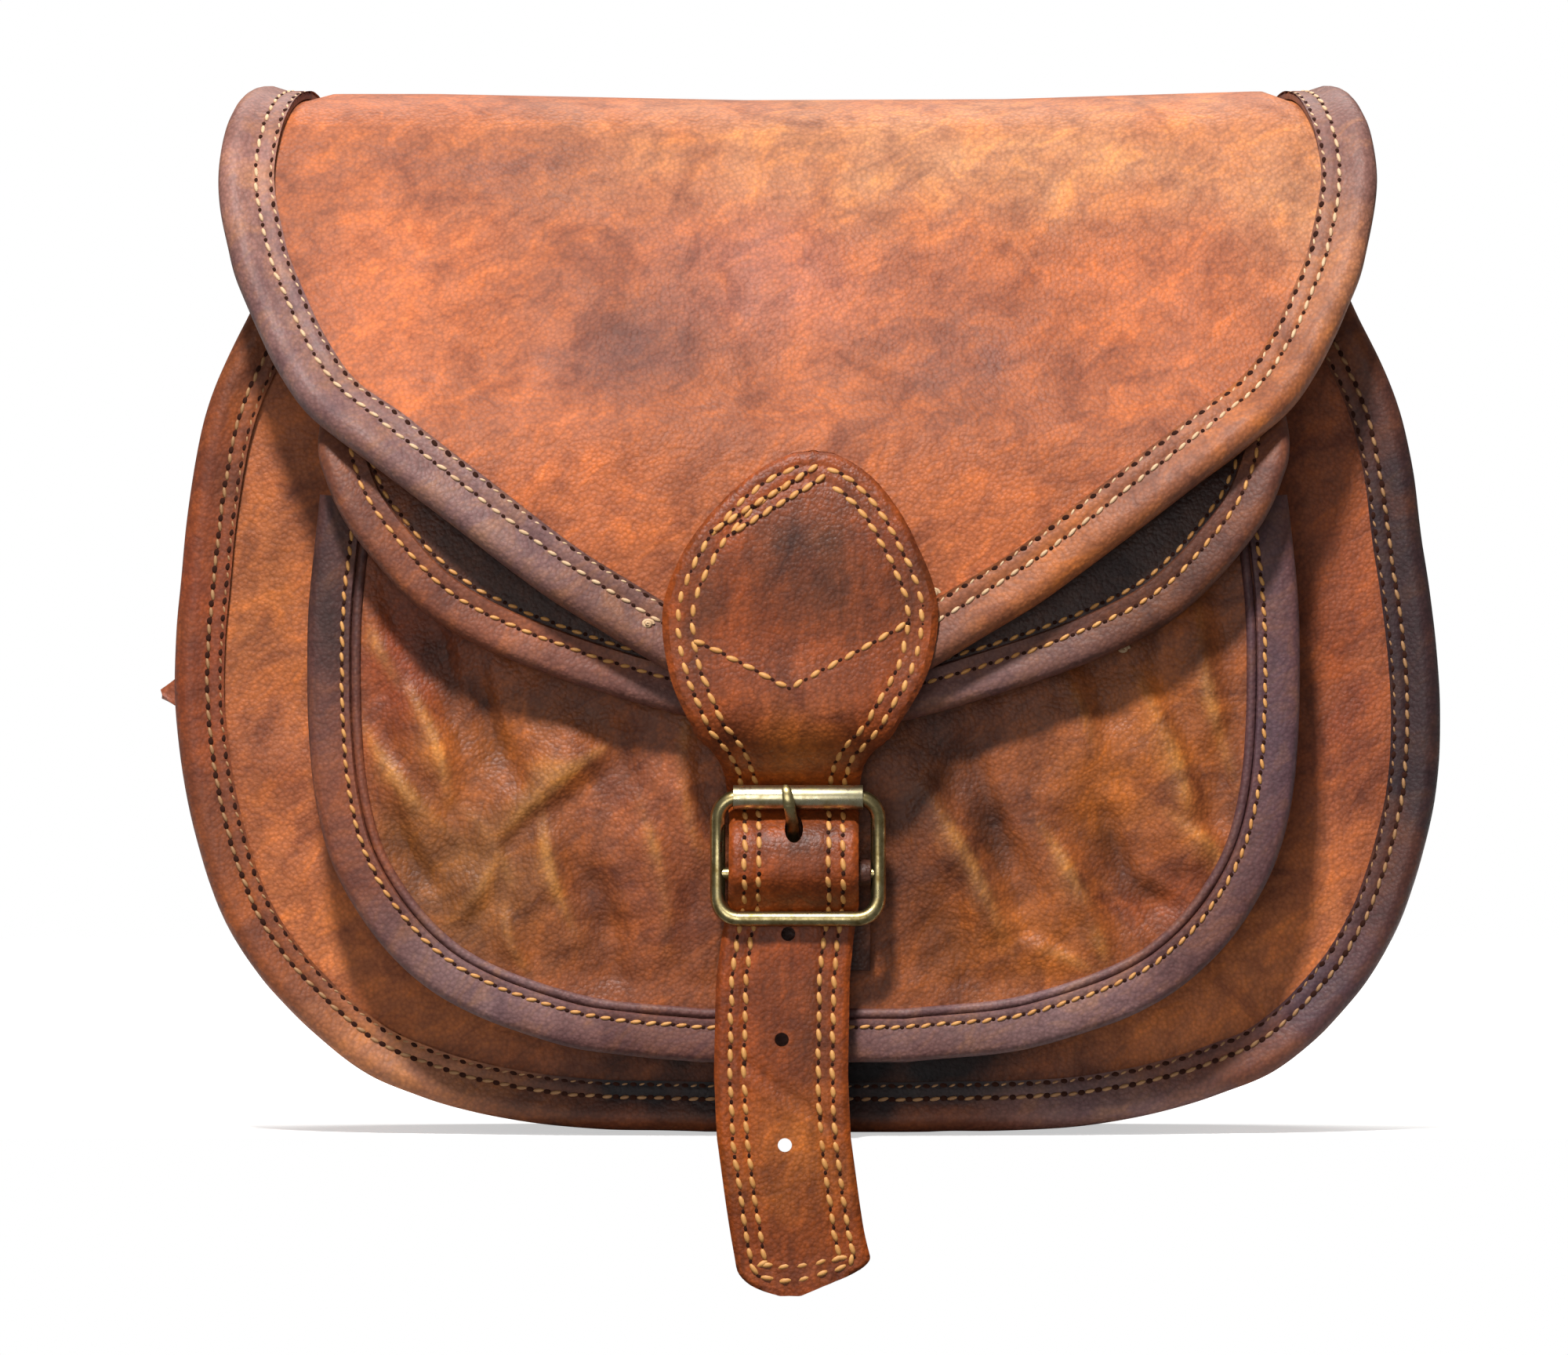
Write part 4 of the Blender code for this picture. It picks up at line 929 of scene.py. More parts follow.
def grains(name, seams, size, slant, seed, offset=0.0):
    """Copies the grain along its seams into one piece, each copy a little different.

    The size is its length, width and thickness, the slant is its turn off the seam in degrees, and the
    offset is how far along the seam the copies are moved.
    """
    points, faces = grain_shape()
    centre, along, up = (np.vstack(part) for part in zip(*seams))
    chance = np.random.RandomState(seed)
    count = len(centre)
    side = np.cross(up, along)
    turn = np.radians(slant + chance.uniform(-5, 5, count))[:, None]
    heading = along * np.cos(turn) + side * np.sin(turn)
    across = np.cross(up, heading)
    length, width, thickness = np.array(size) / 2
    stretch = chance.uniform(0.9, 1.08, count)[:, None, None]
    centre = centre + along * offset + side * chance.uniform(-0.1, 0.1, count)[:, None] * MM
    spread = (points[None, :, :1] * length * stretch * heading[:, None, :]
              + points[None, :, 1:2] * width * across[:, None, :]
              + points[None, :, 2:] * thickness * up[:, None, :])
    corners = (centre[:, None, :] + spread).reshape(-1, 3)
    copied = [[corner + len(points) * k for corner in face] for k in range(count) for face in faces]
    mesh = bpy.data.meshes.new(name)
    mesh.from_pydata(corners.tolist(), [], copied)
    piece = bpy.data.objects.new(name, mesh)
    bpy.context.scene.collection.objects.link(piece)
    smooth_shade(piece, 80)
    return piece


def sew(name, seams, body, slot, thread, slant, seed, fat=1.0, hole=1.0):
    """A run of thread, this many times as fat as usual, with the awl holes between its stitches."""
    sizes = bpy.context.scene.saddle_bag_sizes
    stitch = (sizes.stitch_length * max(1, 0.85 * fat), fat * sizes.thread_width, 0.7 * fat * MM)
    dress(grains(name, seams, stitch, slant, seed), body, slot, thread)
    mouth = (0.9 * hole * MM, 0.75 * hole * MM, 0.3 * MM)
    holes = grains(name + "_holes", seams, mouth, 0, seed + 1, sizes.stitch_pitch / 2)
    dress(holes, body, slot, "needle")


def awl_holes(name, seams, body, slot, thread, seed):
    """A row where the thread is sunk and mostly the dark awl holes show."""
    mouth = (1.5 * MM, 1.2 * MM, 0.5 * MM)
    dress(grains(name, seams, mouth, -25, seed), body, slot, "needle")
    sunk = (1.3 * MM, 0.5 * MM, 0.4 * MM)
    half_pitch = bpy.context.scene.saddle_bag_sizes.stitch_pitch / 2
    dress(grains(name + "_thread", seams, sunk, 20, seed + 1, half_pitch), body, slot, thread)


# ---- settings ----

class SADDLE_BAG_Sizes(bpy.types.PropertyGroup):
    stitch_pitch: bpy.props.FloatProperty(
        name="Stitch pitch", description="Distance between two stitches of a seam", default=3.3 * MM,
        unit="LENGTH")
    stitch_length: bpy.props.FloatProperty(
        name="Stitch length", description="Length of thread that shows in a stitch", default=2.1 * MM,
        unit="LENGTH")
    thread_width: bpy.props.FloatProperty(
        name="Thread width", description="Width of the waxed thread", default=0.82 * MM, unit="LENGTH")
    crumple: bpy.props.FloatProperty(
        name="Pocket creases", description="Depth of the creases in the pocket's panel", default=1.3 * MM,
        unit="LENGTH")
    strap_drift: bpy.props.FloatProperty(
        name="Strap drift", description="How far the closure strap lies left of the middle under its buckle",
        default=3.6 * MM, unit="LENGTH")


class SADDLE_BAG_Colours(bpy.types.PropertyGroup):
    pale_thread: bpy.props.StringProperty(
        name="Pale thread", description="Lit colour of the flap's thread, as sRGB hex", default="#DDC09A")
    pale_thread_dark: bpy.props.StringProperty(
        name="Pale thread, shaded", description="Shaded colour of the flap's thread", default="#A98058")
    gold_thread: bpy.props.StringProperty(
        name="Gold thread", description="Lit colour of the pocket's and strap's thread", default="#DAA460")
    gold_thread_dark: bpy.props.StringProperty(
        name="Gold thread, shaded", description="Shaded colour of that thread", default="#AE6E32")
    tan_thread: bpy.props.StringProperty(
        name="Tan thread", description="Lit colour of the body seams' thread", default="#B58A5C")
    tan_thread_dark: bpy.props.StringProperty(
        name="Tan thread, shaded", description="Shaded colour of that thread", default="#6E472B")
    floor: bpy.props.StringProperty(
        name="Floor", description="Colour of the pale floor, as sRGB hex", default="#D8D8D6")


# ---- the pieces ----

# The front pocket's creases as (x, height, x, height, half width, rise) in mm; a valley's rise is negative
CREASES = (
    (-88, 118, -76, 84, 4.5, 1.5), (-77, 88, -67, 60, 4.0, 1.5), (-86, 82, -63, 54, 3.6, 1.6),
    (-67, 64, -55, 46, 3.2, 1.1), (-34, 76, -62, 52, 4.2, 1.9), (-57, 58, -70, 38, 3.4, 1.2),
    (-63, 94, -52, 64, 3.2, -1.3), (-73, 102, -64, 70, 2.8, -1.2), (-50, 66, -42, 36, 4.6, 1.2),
    (-33, 68, -26, 32, 4.6, 1.2), (-57, 46, -50, 28, 3.2, 0.9), (-46, 86, -32, 64, 4.4, -1.0),
    (-79, 68, -69, 46, 2.6, -1.0), (-41, 54, -36, 26, 3.6, -0.9), (-22, 84, -19, 50, 3.6, 0.8),
    (20, 70, 40, 31, 4.6, 1.5), (31, 78, 46, 43, 3.4, -1.3), (43, 62, 59, 27, 4.0, 1.5),
    (55, 72, 67, 40, 3.2, -1.3), (62, 90, 75, 53, 4.0, 1.6), (75, 106, 84, 62, 3.2, 1.3),
    (67, 63, 84, 45, 3.4, 1.7), (57, 54, 79, 40, 3.0, -1.3), (37, 37, 59, 28, 3.0, 1.1),
    (79, 80, 87, 50, 2.6, -1.0), (47, 92, 57, 62, 4.2, 1.0), (29, 52, 34, 24, 3.4, -0.9),
)


def folds(x, height):
    """Yields each crease's half width and rise, its fade to both ends and the distance from its crest in mm.

    The crests bow by 2.2 mm, to one side and the other in turn.
    """
    xs, hs = x / MM, height / MM
    for k, (x0, h0, x1, h1, wide, rise) in enumerate(CREASES):
        reach = math.hypot(x1 - x0, h1 - h0)
        ax, ah = (x1 - x0) / reach, (h1 - h0) / reach
        t = ((xs - x0) * ax + (hs - h0) * ah) / reach
        fade = np.sin(np.pi * clamp(t))
        bow = 2.2 if k % 2 else -2.2
        yield wide, rise, fade, (hs - h0) * ax - (xs - x0) * ah - bow * fade


def creases(x, height):
    """The relief of the front pocket's creases, in mm: sharp folds between flat facets."""
    ridges, valleys = np.zeros(len(x)), np.zeros(len(x))
    for wide, rise, fade, off in folds(x, height):
        off = off / wide
        # One flank falls 2.8 times as steeply as the other, and the crest is just rounded
        slope = np.hypot(np.where(off > 0, off, off / 2.8), 0.05)
        fold = rise * fade ** 0.8 * np.maximum(0, 1 - slope)
        ridges, valleys = np.maximum(ridges, fold), np.minimum(valleys, fold)
    return ridges + valleys


def crease_wear_and_shade(x, height):
    """Where the creases' crests are painted pale, as rubbed wear and a painted highlight, most along a thin
    line, and where their valleys are darkened as painted shade.
    """
    rise = creases(x, height)
    crest = np.zeros(len(x))
    for wide, peak, fade, off in folds(x, height):
        if peak > 0:
            crest = np.maximum(crest, peak * fade * np.exp(-(off / 0.9) ** 2))
    wear_highlight_and_shade = np.where(rise > 0, 1.2 * np.maximum(0, rise - 0.85) + 0.75 * crest, rise)
    return wear_highlight_and_shade * (0.55 + 0.6 * cloud(as_points(x, height), 7 * MM, 27))


class SADDLE_BAG_OT_body(bpy.types.Operator):
    """Lofts the front and back panels and the gusset between them"""
    bl_idname = "saddle_bag.body"
    bl_label = "Body"

    def execute(self, context):
        line = body_line(1.6 * MM)
        rows = rows_of(outline(BODY_SHAPE, BODY_WIDTH, 0, MOUTH_HEIGHT), -PANEL_EDGE, 2.0 * MM)

        def slack(x, height):
            """The front's soft unevenness, which starts outside the pocket and ends at the seam."""
            at = as_points(x, height)
            keep = clamp((distance_to(at[:, :2], line) - 9 * MM) / (8 * MM))
            beside_pocket = clamp((np.abs(x) - 78 * MM) / (10 * MM))
            return keep * beside_pocket * (0.5 * cloud(at, 17 * MM, 11) + 0.25 * cloud(at, 7 * MM, 12)) * MM

        front = sheet("front_panel_leather", rows, on_front, 110, slack, slumped=True)
        dye_light_and_shade(front, BODY_DYE_LIGHT_AND_SHADE, 100)
        dress(front, "bag", "body_leather", "body leather", "suede")
        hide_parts("front_panel")

        def slump(x, height):
            """The back's soft unevenness, which ends at the seam and below the flap's lap."""
            at = as_points(x, height, 0.1)
            keep = clamp((distance_to(at[:, :2], line) - 9 * MM) / (12 * MM))
            below_lap = clamp((160 * MM - height) / (20 * MM))
            return keep * below_lap * (0.5 * cloud(at, 24 * MM, 15) + 0.2 * cloud(at, 8 * MM, 16) - 0.1) * MM

        shoulder = np.array([(rows[0, 0] - 3.75 * MM, BACK_HEIGHT - GAP)])
        back_rows = np.vstack((even(np.vstack((shoulder, rows[:1])), 2 * MM)[:-1], rows))
        back = sheet("back_panel_leather", back_rows, on_back, 96, slump, facing=-1, slumped=True)
        dye_light_and_shade(back, BACK_DYE_AND_LIGHT, 140)
        dress(back, "bag", "body_leather", "body leather", "suede")
        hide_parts("back_panel")

        # The gusset flares into both seams, and bulges and wrinkles between them below the mouth
        out = normals(line)
        at = np.stack((line[:, 0], np.zeros(len(line)), line[:, 1]), axis=1)
        low = clamp((124 * MM - line[:, 1]) / (24 * MM))
        under_panel = np.full(len(line), -(PANEL + GAP + GUSSET))
        rings = []
        for t in np.linspace(0, 1, 31):
            flare = 5.0 * MM * math.exp(-(min(t, 1 - t) / 0.03) ** 2)
            bulge = 2.4 * MM * math.sin(math.pi * t) * low
            wrinkle = 0.55 * MM * cloud(at + (0, t * 50 * MM, 0), 13 * MM, 31) * low * math.sin(math.pi * t)
            flat = line + (WALL_OUTER + flare + bulge + wrinkle)[:, None] * out
            near, far = (surface(*flat.T, under_panel) for surface in (on_front, on_back))
            rings.append(near + t * (far - near))
        gusset = loft("gusset_leather", line, rings)
        thicken(gusset, GUSSET)
        dye_light_and_shade(gusset, GUSSET_DYE_AND_LIGHT, 170)
        dress(gusset, "bag", "body_leather", "body leather", "suede")
        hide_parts("gusset")
        return {"FINISHED"}


class SADDLE_BAG_OT_body_edges(bpy.types.Operator):
    """Rolls the bindings round the front and back seams and sews them"""
    bl_idname = "saddle_bag.body_edges"
    bl_label = "Body edges"

    def execute(self, context):
        pitch = context.scene.saddle_bag_sizes.stitch_pitch
        line = body_line(1.3 * MM)
        section = edge_section(front=1.45, back=-5.0, wide=9.4, rows=(6.4, 8.9), lower=0.06, corner=2.8,
                               crown=0.7)
        for side, surface, seed in (("front", on_front, 40), ("back", on_back, 50)):
            edge = rolled_edge(side + "_rolled_edge", line, surface, section, seed)
            dye_light_and_shade(edge, BODY_EDGE_DYE_LIGHT_AND_SHADE, 200)
            dress(edge, "bag", "edge_leather", "edge leather")
            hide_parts(side + "_binding")
            sew(side + "_seam_thread", [seam(inset(line, -6.4 * MM), surface, 1.35 * MM, pitch)], "bag",
                "edge_leather", "tan thread", slant=10, seed=61, hole=1.5)
            awl_holes(side + "_seam_awl_row", [seam(inset(line, -8.9 * MM), surface, 1.2 * MM, pitch)], "bag",
                      "edge_leather", "tan thread", seed=63)
        return {"FINISHED"}


class SADDLE_BAG_OT_pocket(bpy.types.Operator):
    """Builds the patch pocket: its creased panel, its gusset, its rolled edge and its piping"""
    bl_idname = "saddle_bag.pocket"
    bl_label = "Front pocket"

    def execute(self, context):
        sizes = context.scene.saddle_bag_sizes
        half = outline(POCKET_SHAPE, POCKET_WIDTH, POCKET_BOTTOM, POCKET_TOP)
        line = even(mirrored(half), 1.2 * MM)
        rows = rows_of(half, -PANEL_EDGE, 1.05 * MM)

        def crumpled(x, height):
            """The creases, which end at the seam, at the pocket's mouth and where the chape is sewn on."""
            at = as_points(x, height)
            keep = clamp((distance_to(at[:, :2], line) - 9.5 * MM) / (5 * MM))
            beside_chape = clamp((np.abs(x) - 15 * MM) / (6 * MM))
            below_mouth = clamp((118 * MM - height) / (10 * MM))
            small = 0.35 * cloud(at, 9 * MM, 21) + 0.2 * cloud(at, 4 * MM, 22)
            relief = np.clip(keep * beside_chape * below_mouth * (creases(x, height) + small), -1.6, 1.9)
            return (relief - 0.5 * keep) * sizes.crumple

        panel = sheet("pocket_panel_leather", rows, on_pocket, 180, crumpled)
        dye_light_and_shade(panel, POCKET_DYE_AND_SHADE, 300, crease_wear_and_shade)
        dress(panel, "bag", "pocket_leather", "pocket leather", "suede")
        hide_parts("pocket_panel")

        section = edge_section(front=1.45, back=-5.0, wide=8.3, rows=(6.7,), lower=0.06, corner=1.7,
                               crown=0.3)
        edge = rolled_edge("pocket_rolled_edge", line, on_pocket, section, 70)
        dye_light_and_shade(edge, POCKET_EDGE_DYE, 330)
        dress(edge, "bag", "edge_leather", "edge leather")
        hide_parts("pocket_binding")
        inner = inset(line, -9.3 * MM)[4:-4]
        ridge = on_pocket(*inner.T, np.full(len(inner), 0.25 * MM))
        piping = wire("pocket_piping", ridge, 0.95 * MM, sides=3)
        dye_light_and_shade(piping, POCKET_EDGE_DYE, 350)
        dress(piping, "bag", "edge_leather", "edge leather")
        pitch = 0.88 * sizes.stitch_pitch
        sew("pocket_seam_thread", [seam(inset(line, -6.7 * MM), on_pocket, 1.35 * MM, pitch)], "bag",
            "edge_leather", "gold thread", slant=14, seed=71)

        # The gusset's section from the pocket's seam round to the body's front: (offset, surface, lift) in mm
        out = normals(line)
        rings = []
        for offset, surface, lift in (
                (-1.6, on_pocket, -4.0), (-5.4, on_pocket, -4.0), (-6.8, on_pocket, -5.2),
                (-6.9, on_pocket, -8.5), (-6.6, on_front, 5.0), (-7.0, on_front, 2.2),
                (-8.6, on_front, 1.8), (-14.2, on_front, 1.8)):
            flat = line + offset * MM * out
            rings.append(surface(*flat.T, np.full(len(line), lift * MM)))
        side = loft("pocket_gusset_leather", line, rings)
        apply(side, "SUBSURF", levels=1, render_levels=1)
        thicken(side, 1.4 * MM)
        dye_light_and_shade(side, POCKET_GUSSET_DYE, 360)
        dress(side, "bag", "pocket_leather", "pocket leather", "suede")
        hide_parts("pocket_gusset")
        return {"FINISHED"}


def flap_outline(profile, shape, width, tip, top, crest):
    """A flap's right half in its flat pattern, from the crest's own points down to its tip."""
    keys = [(share * width / 2, profile.level(tip + part * (top - tip))) for share, part in shape]
    return curve((*crest, *keys))


class SADDLE_BAG_OT_pocket_flap(bpy.types.Operator):
    """Builds the pocket's flap, sewn to the body above the pocket"""
    bl_idname = "saddle_bag.pocket_flap"
    bl_label = "Pocket flap"

    def execute(self, context):
        pitch = context.scene.saddle_bag_sizes.stitch_pitch
        root = POCKET_FLAP.level(POCKET_FLAP_ROOT)
        crest = ((0.97 * POCKET_FLAP_TOP, 0.0), (POCKET_FLAP_TOP, root))
        half = flap_outline(POCKET_FLAP, POCKET_FLAP_SHAPE, POCKET_FLAP_WIDTH, POCKET_FLAP_TIP,
                            POCKET_FLAP_ROOT, crest)
        rows = rows_of(half, -PANEL_EDGE, 2 * MM)
        rows[0, 1] = 0.0
        panel = sheet("pocket_flap_leather", rows, POCKET_FLAP.point, 80)
        dye_light_and_shade(panel, POCKET_FLAP_DYE_AND_SHADE, 400)
        dress(panel, None, "pocket_leather", "pocket leather", "suede")
        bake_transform(panel)
        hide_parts("pocket_flap_panel")

        line = even(mirrored(half[half[:, 1] < root - 7 * MM]), 1.3 * MM)
        section = edge_section(front=1.75, back=-2.6, wide=8.6, rows=(6.0,), lower=0.3, corner=2.1, crown=0.5)
        edge = rolled_edge("pocket_flap_rolled_edge", line, POCKET_FLAP.point, section, 80)
        dye_light_and_shade(edge, POCKET_FLAP_EDGE_DYE_AND_SHADE, 430)
        dress(edge, "pocket_flap", "edge_leather", "edge leather")
        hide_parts("pocket_flap_binding")
        seams = [seam(inset(line, -6.0 * MM), POCKET_FLAP.point, 1.65 * MM, pitch),
                 seam(inset(line, -9.4 * MM)[6:-6], POCKET_FLAP.point, 0.05 * MM, pitch)]
        sew("pocket_flap_thread", seams, "pocket_flap", "edge_leather", "gold thread", slant=9, seed=81)
        across = np.stack((np.linspace(-0.9, 0.9, 120) * POCKET_FLAP_TOP, np.full(120, -3.5 * MM)), axis=1)
        sew("pocket_flap_root_thread", [seam(across, POCKET_FLAP.point, 0.05 * MM, pitch)], "bag",
            "edge_leather", "gold thread", slant=9, seed=84)
        return {"FINISHED"}


class SADDLE_BAG_OT_flap(bpy.types.Operator):
    """Builds the main flap, lapped on the back panel and folded over the bag's top"""
    bl_idname = "saddle_bag.flap"
    bl_label = "Main flap"

    def execute(self, context):
        pitch = context.scene.saddle_bag_sizes.stitch_pitch
        shoulder = FLAP.level(BACK_HEIGHT)
        lap = -14 * MM
        crest = ((0.44 * FLAP_WIDTH, 0.0), (0.447 * FLAP_WIDTH, lap),
                 (0.478 * FLAP_WIDTH, 0.52 * (lap + shoulder)), (0.5 * FLAP_WIDTH, shoulder))
        half = flap_outline(FLAP, FLAP_SHAPE, FLAP_WIDTH, FLAP_TIP, BACK_HEIGHT, crest)
        rows = rows_of(half, -PANEL_EDGE, 2 * MM)
        rows[0, 1] = 0.0
        line = even(mirrored(half), 2 * MM)
        crown = -FLAP.run[FLAP.crest]

        def dented(x, level):
            """Soft waves down the front, clear of the rim and the spade, and a crest fuller at its ends."""
            at = as_points(x, level)
            keep = clamp((distance_to(at[:, :2], line) - 11 * MM) / (14 * MM))
            front = clamp((shoulder - level) / (20 * MM))
            beside_spade = clamp((np.hypot(x, (level - FLAP.level(98 * MM))) - 36 * MM) / (10 * MM))
            waves = 0.7 * cloud(at, 30 * MM, 91) + 0.25 * cloud(at, 11 * MM, 92)
            on_crest = np.exp(-((level - crown) / (20 * MM)) ** 2) * clamp(keep * 3)
            fuller = np.interp(x / MM, (-95, -70, -10, 40, 95), (1.3, 1.3, 0.1, 0.3, 2.0))
            return (keep * front * beside_spade * waves + fuller * on_crest) * MM

        panel = sheet("flap_leather", rows, on_flap, 130, dented)
        dye_light_and_shade(panel, FLAP_DYE, 500)
        dress(panel, None, "flap_leather", "flap leather", "suede")
        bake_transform(panel)
        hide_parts("flap_panel")

        line = even(mirrored(half[half[:, 1] < lap - 9 * MM]), 1.3 * MM)
        section = edge_section(front=1.85, back=-3.5, wide=10.7, rows=(7.2, 10.1), lower=0.3, corner=2.8,
                               crown=0.95)
        edge = rolled_edge("flap_rolled_edge", line, on_flap, section, 90, wobble=0.3 * MM)
        dye_light_and_shade(edge, FLAP_EDGE_DYE, 540)
        dress(edge, "flap", "flap_edge_leather", "edge leather")
        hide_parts("flap_binding")
        sew("flap_thread", [seam(inset(line, -7.2 * MM), on_flap, 1.75 * MM, pitch)], "flap",
            "flap_edge_leather", "pale thread", slant=10, seed=91)
        awl_holes("flap_awl_row", [seam(inset(line, -10.1 * MM), on_flap, 1.6 * MM, pitch)], "flap",
                  "flap_edge_leather", "pale thread", seed=93)
        across = np.stack((np.linspace(-0.42, 0.42, 200) * FLAP_WIDTH, np.full(200, -3 * MM)), axis=1)
        second = across + (0, -3 * MM)
        sew("lap_thread", [seam(row, on_flap, 0.05 * MM, pitch) for row in (across, second)], "bag",
            "flap_leather", "pale thread", slant=9, seed=96)
        return {"FINISHED"}


# The closure strap's middle line off the bag's, as (height in mm, share of the drift): left under the buckle
# and back to the right at its tip
STRAP_SHIFT = (
    (-33, 0.2), (-24, -0.1), (-12, -0.6), (0, -1.05), (12, -1.2), (30, -1.1), (38, -0.85), (44, -0.55),
    (60, -0.52), (72, -0.6), (90, -0.25), (112, -0.1), (130, 0.5),
)

# The rise of the strap's face by the distance from its rim, both in mm: it dips at its two rows of stitches
STRAP_FACE = (
    (0, -0.35), (0.35, 0.55), (1, 0.9), (2.2, 1.0), (3, 0.72), (3.8, 1.0), (4.6, 1.0), (5.6, 0.72),
    (6.4, 1.0), (7.4, 1.06), (12.7, 1.1), (26, 1.15),
)

# Its extra stitching as lines of (x, height) in mm, with the lift and the share of the pitch: the vee across
# the spade's foot and the double bar at its shoulder
STRAP_LINES = (
    (((-20.5, 94.5), (-1.5, 85.0)), 1.05, 1.05), (((-1.5, 85.0), (20.5, 97.5)), 1.05, 1.05),
    (((1.5, 127.2), (-17.2, 114.6)), 1.15, 0.9), (((3.2, 125.2), (-13.0, 114.4)), 1.15, 0.9),
)

# The punched holes
HOLES = 4
HOLE_PITCH = 20 * MM
HOLE_RADIUS = 1.35 * MM


class SADDLE_BAG_OT_closure_strap(bpy.types.Operator):
    """Builds the spade tab and its billet, punches its holes and sews its double rows"""
    bl_idname = "saddle_bag.closure_strap"
    bl_label = "Closure strap"

    def execute(self, context):
        sizes = context.scene.saddle_bag_sizes
        neck = BAR_HEIGHT + TO_ROLLER + ROLLER
        corner = 4 * MM
        half_width = STRAP_WIDTH / 2
        end = -STRAP_LINE.run[-1]
        keys = [(share * SPADE_WIDTH / 2, STRAP_LINE.level(neck + part * (SPADE_TOP - neck)))
                for share, part in SPADE_SHAPE]
        keys += [(half_width, STRAP_LINE.level(neck)), (half_width, 0.5 * (STRAP_LINE.level(neck) + end)),
                 (half_width, end + corner)]
        side = curve(keys)
        half = np.vstack((side[side[:, 1] > end + corner],
                          arc((half_width - corner, end + corner), corner, 0, -90, 8)))
        rows = even(half, 0.9 * MM)
        line = mirrored(half)

        def surface(x, level, lift):
            """On the strap, which drifts off the middle and is cut a little askew at its tip."""
            near = clamp((end + 14 * MM - level) / (14 * MM)) ** 1.5
            slant = near * (0.42 * np.maximum(0, x + 1 * MM) + 0.3 * np.maximum(0, -x - 5 * MM))
            height = STRAP_LINE.spot(-np.asarray(level))[1]
            shift = sizes.strap_drift * np.interp(height / MM, *zip(*STRAP_SHIFT))
            return STRAP_LINE.point(x + shift, level + slant, lift)

        # The face from one edge to the other, with a crease pressed in askew below the buckle, then the back
        rings = []
        for share in np.linspace(-1, 1, 41):
            x = rows[:, 0] * share
            flat = np.stack((x, rows[:, 1]), axis=1)
            edge = np.minimum(distance_to(flat, line), rows[:, 0] * (1 - abs(share)) + 0.2 * MM) / MM
            lift = np.interp(edge, *zip(*STRAP_FACE)) * MM
            height = STRAP_LINE.spot(-rows[:, 1])[1] / MM
            fold = np.exp(-((height - 9 + 0.75 * x / MM) / 1.5) ** 2) - 0.6 * np.exp(
                -((height - 6 + 0.75 * x / MM) / 1.6) ** 2)
            rings.append(surface(x, rows[:, 1], lift - 0.35 * MM * fold * clamp((edge - 2) / 3)))
        for share in np.linspace(1, -1, 9)[1:-1]:
            rings.append(surface(rows[:, 0] * share, rows[:, 1], np.full(len(rows), -STRAP / 2)))
        strap = sweep("closure_strap_leather", rings)

        # The first hole is the one that the tongue has stretched
        slot = slot_height()
        for i in range(HOLES):
            level = STRAP_LINE.level(slot - i * HOLE_PITCH)
            spot = surface(np.zeros(1), np.full(1, level), np.zeros(1))[0]
            bpy.ops.object.select_all(action="DESELECT")
            bpy.ops.mesh.primitive_cylinder_add(vertices=18, radius=HOLE_RADIUS, depth=20 * MM, location=spot,
                                                rotation=(math.radians(90), 0, 0))
            punch = bpy.context.object
            punch.scale = (1.3, 2.0, 1) if i == 0 else (1, 1, 1)
            bpy.ops.object.transform_apply(location=True, rotation=True, scale=True)
            apply(strap, "BOOLEAN", operation="DIFFERENCE", solver="EXACT", object=punch)
            bpy.data.objects.remove(punch, do_unlink=True)
        smooth_shade(strap, 35)
        dye_light_and_shade(strap, STRAP_DYE, 600)
        dress(strap, "flap", "strap_leather", "strap leather")
        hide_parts("closure_strap")

        path = even(line, 0.8 * MM)
        pitch = sizes.stitch_pitch
        seams = [seam(inset(path, offset * MM)[cut:-cut], surface, 0.78 * MM, pitch * 1.05)
                 for offset, cut in ((-3.0, 3), (-5.7, 8))]
        for ends, lift, share in STRAP_LINES:
            ends = np.array([(x * MM, STRAP_LINE.level(h * MM)) for x, h in ends])
            seams.append(seam(ends, surface, lift * MM, pitch * share))
        sew("closure_strap_thread", seams, "flap", "strap_leather", "gold thread", slant=10, seed=101,
            fat=1.4, hole=1.1)
        return {"FINISHED"}


def dressed_copy(node, name, bevel):
    """A cleaned copy of a plain CAD solid with its edges eased."""
    only(bpy.data.objects[node])
    bpy.ops.object.duplicate()
    piece = bpy.context.object
    piece.name = name
    piece.data.name = name
    for key in list(piece.keys()):
        del piece[key]
    piece.parent = None
    with all_in_edit_mode(piece):
        bpy.ops.mesh.remove_doubles(threshold=0.005 * MM)
        bpy.ops.mesh.dissolve_limited(angle_limit=math.radians(0.3))
    ease(piece, bevel)
    smooth_shade(piece, 50)
    return piece


def cut_across(piece, heights):
    """Gives a strap more cross-sections at these heights."""
    with all_in_edit_mode(piece):
        for height in heights:
            bpy.ops.mesh.select_all(action="SELECT")
            bpy.ops.mesh.bisect(plane_co=(0, 0, height), plane_no=(0, 0, 1))


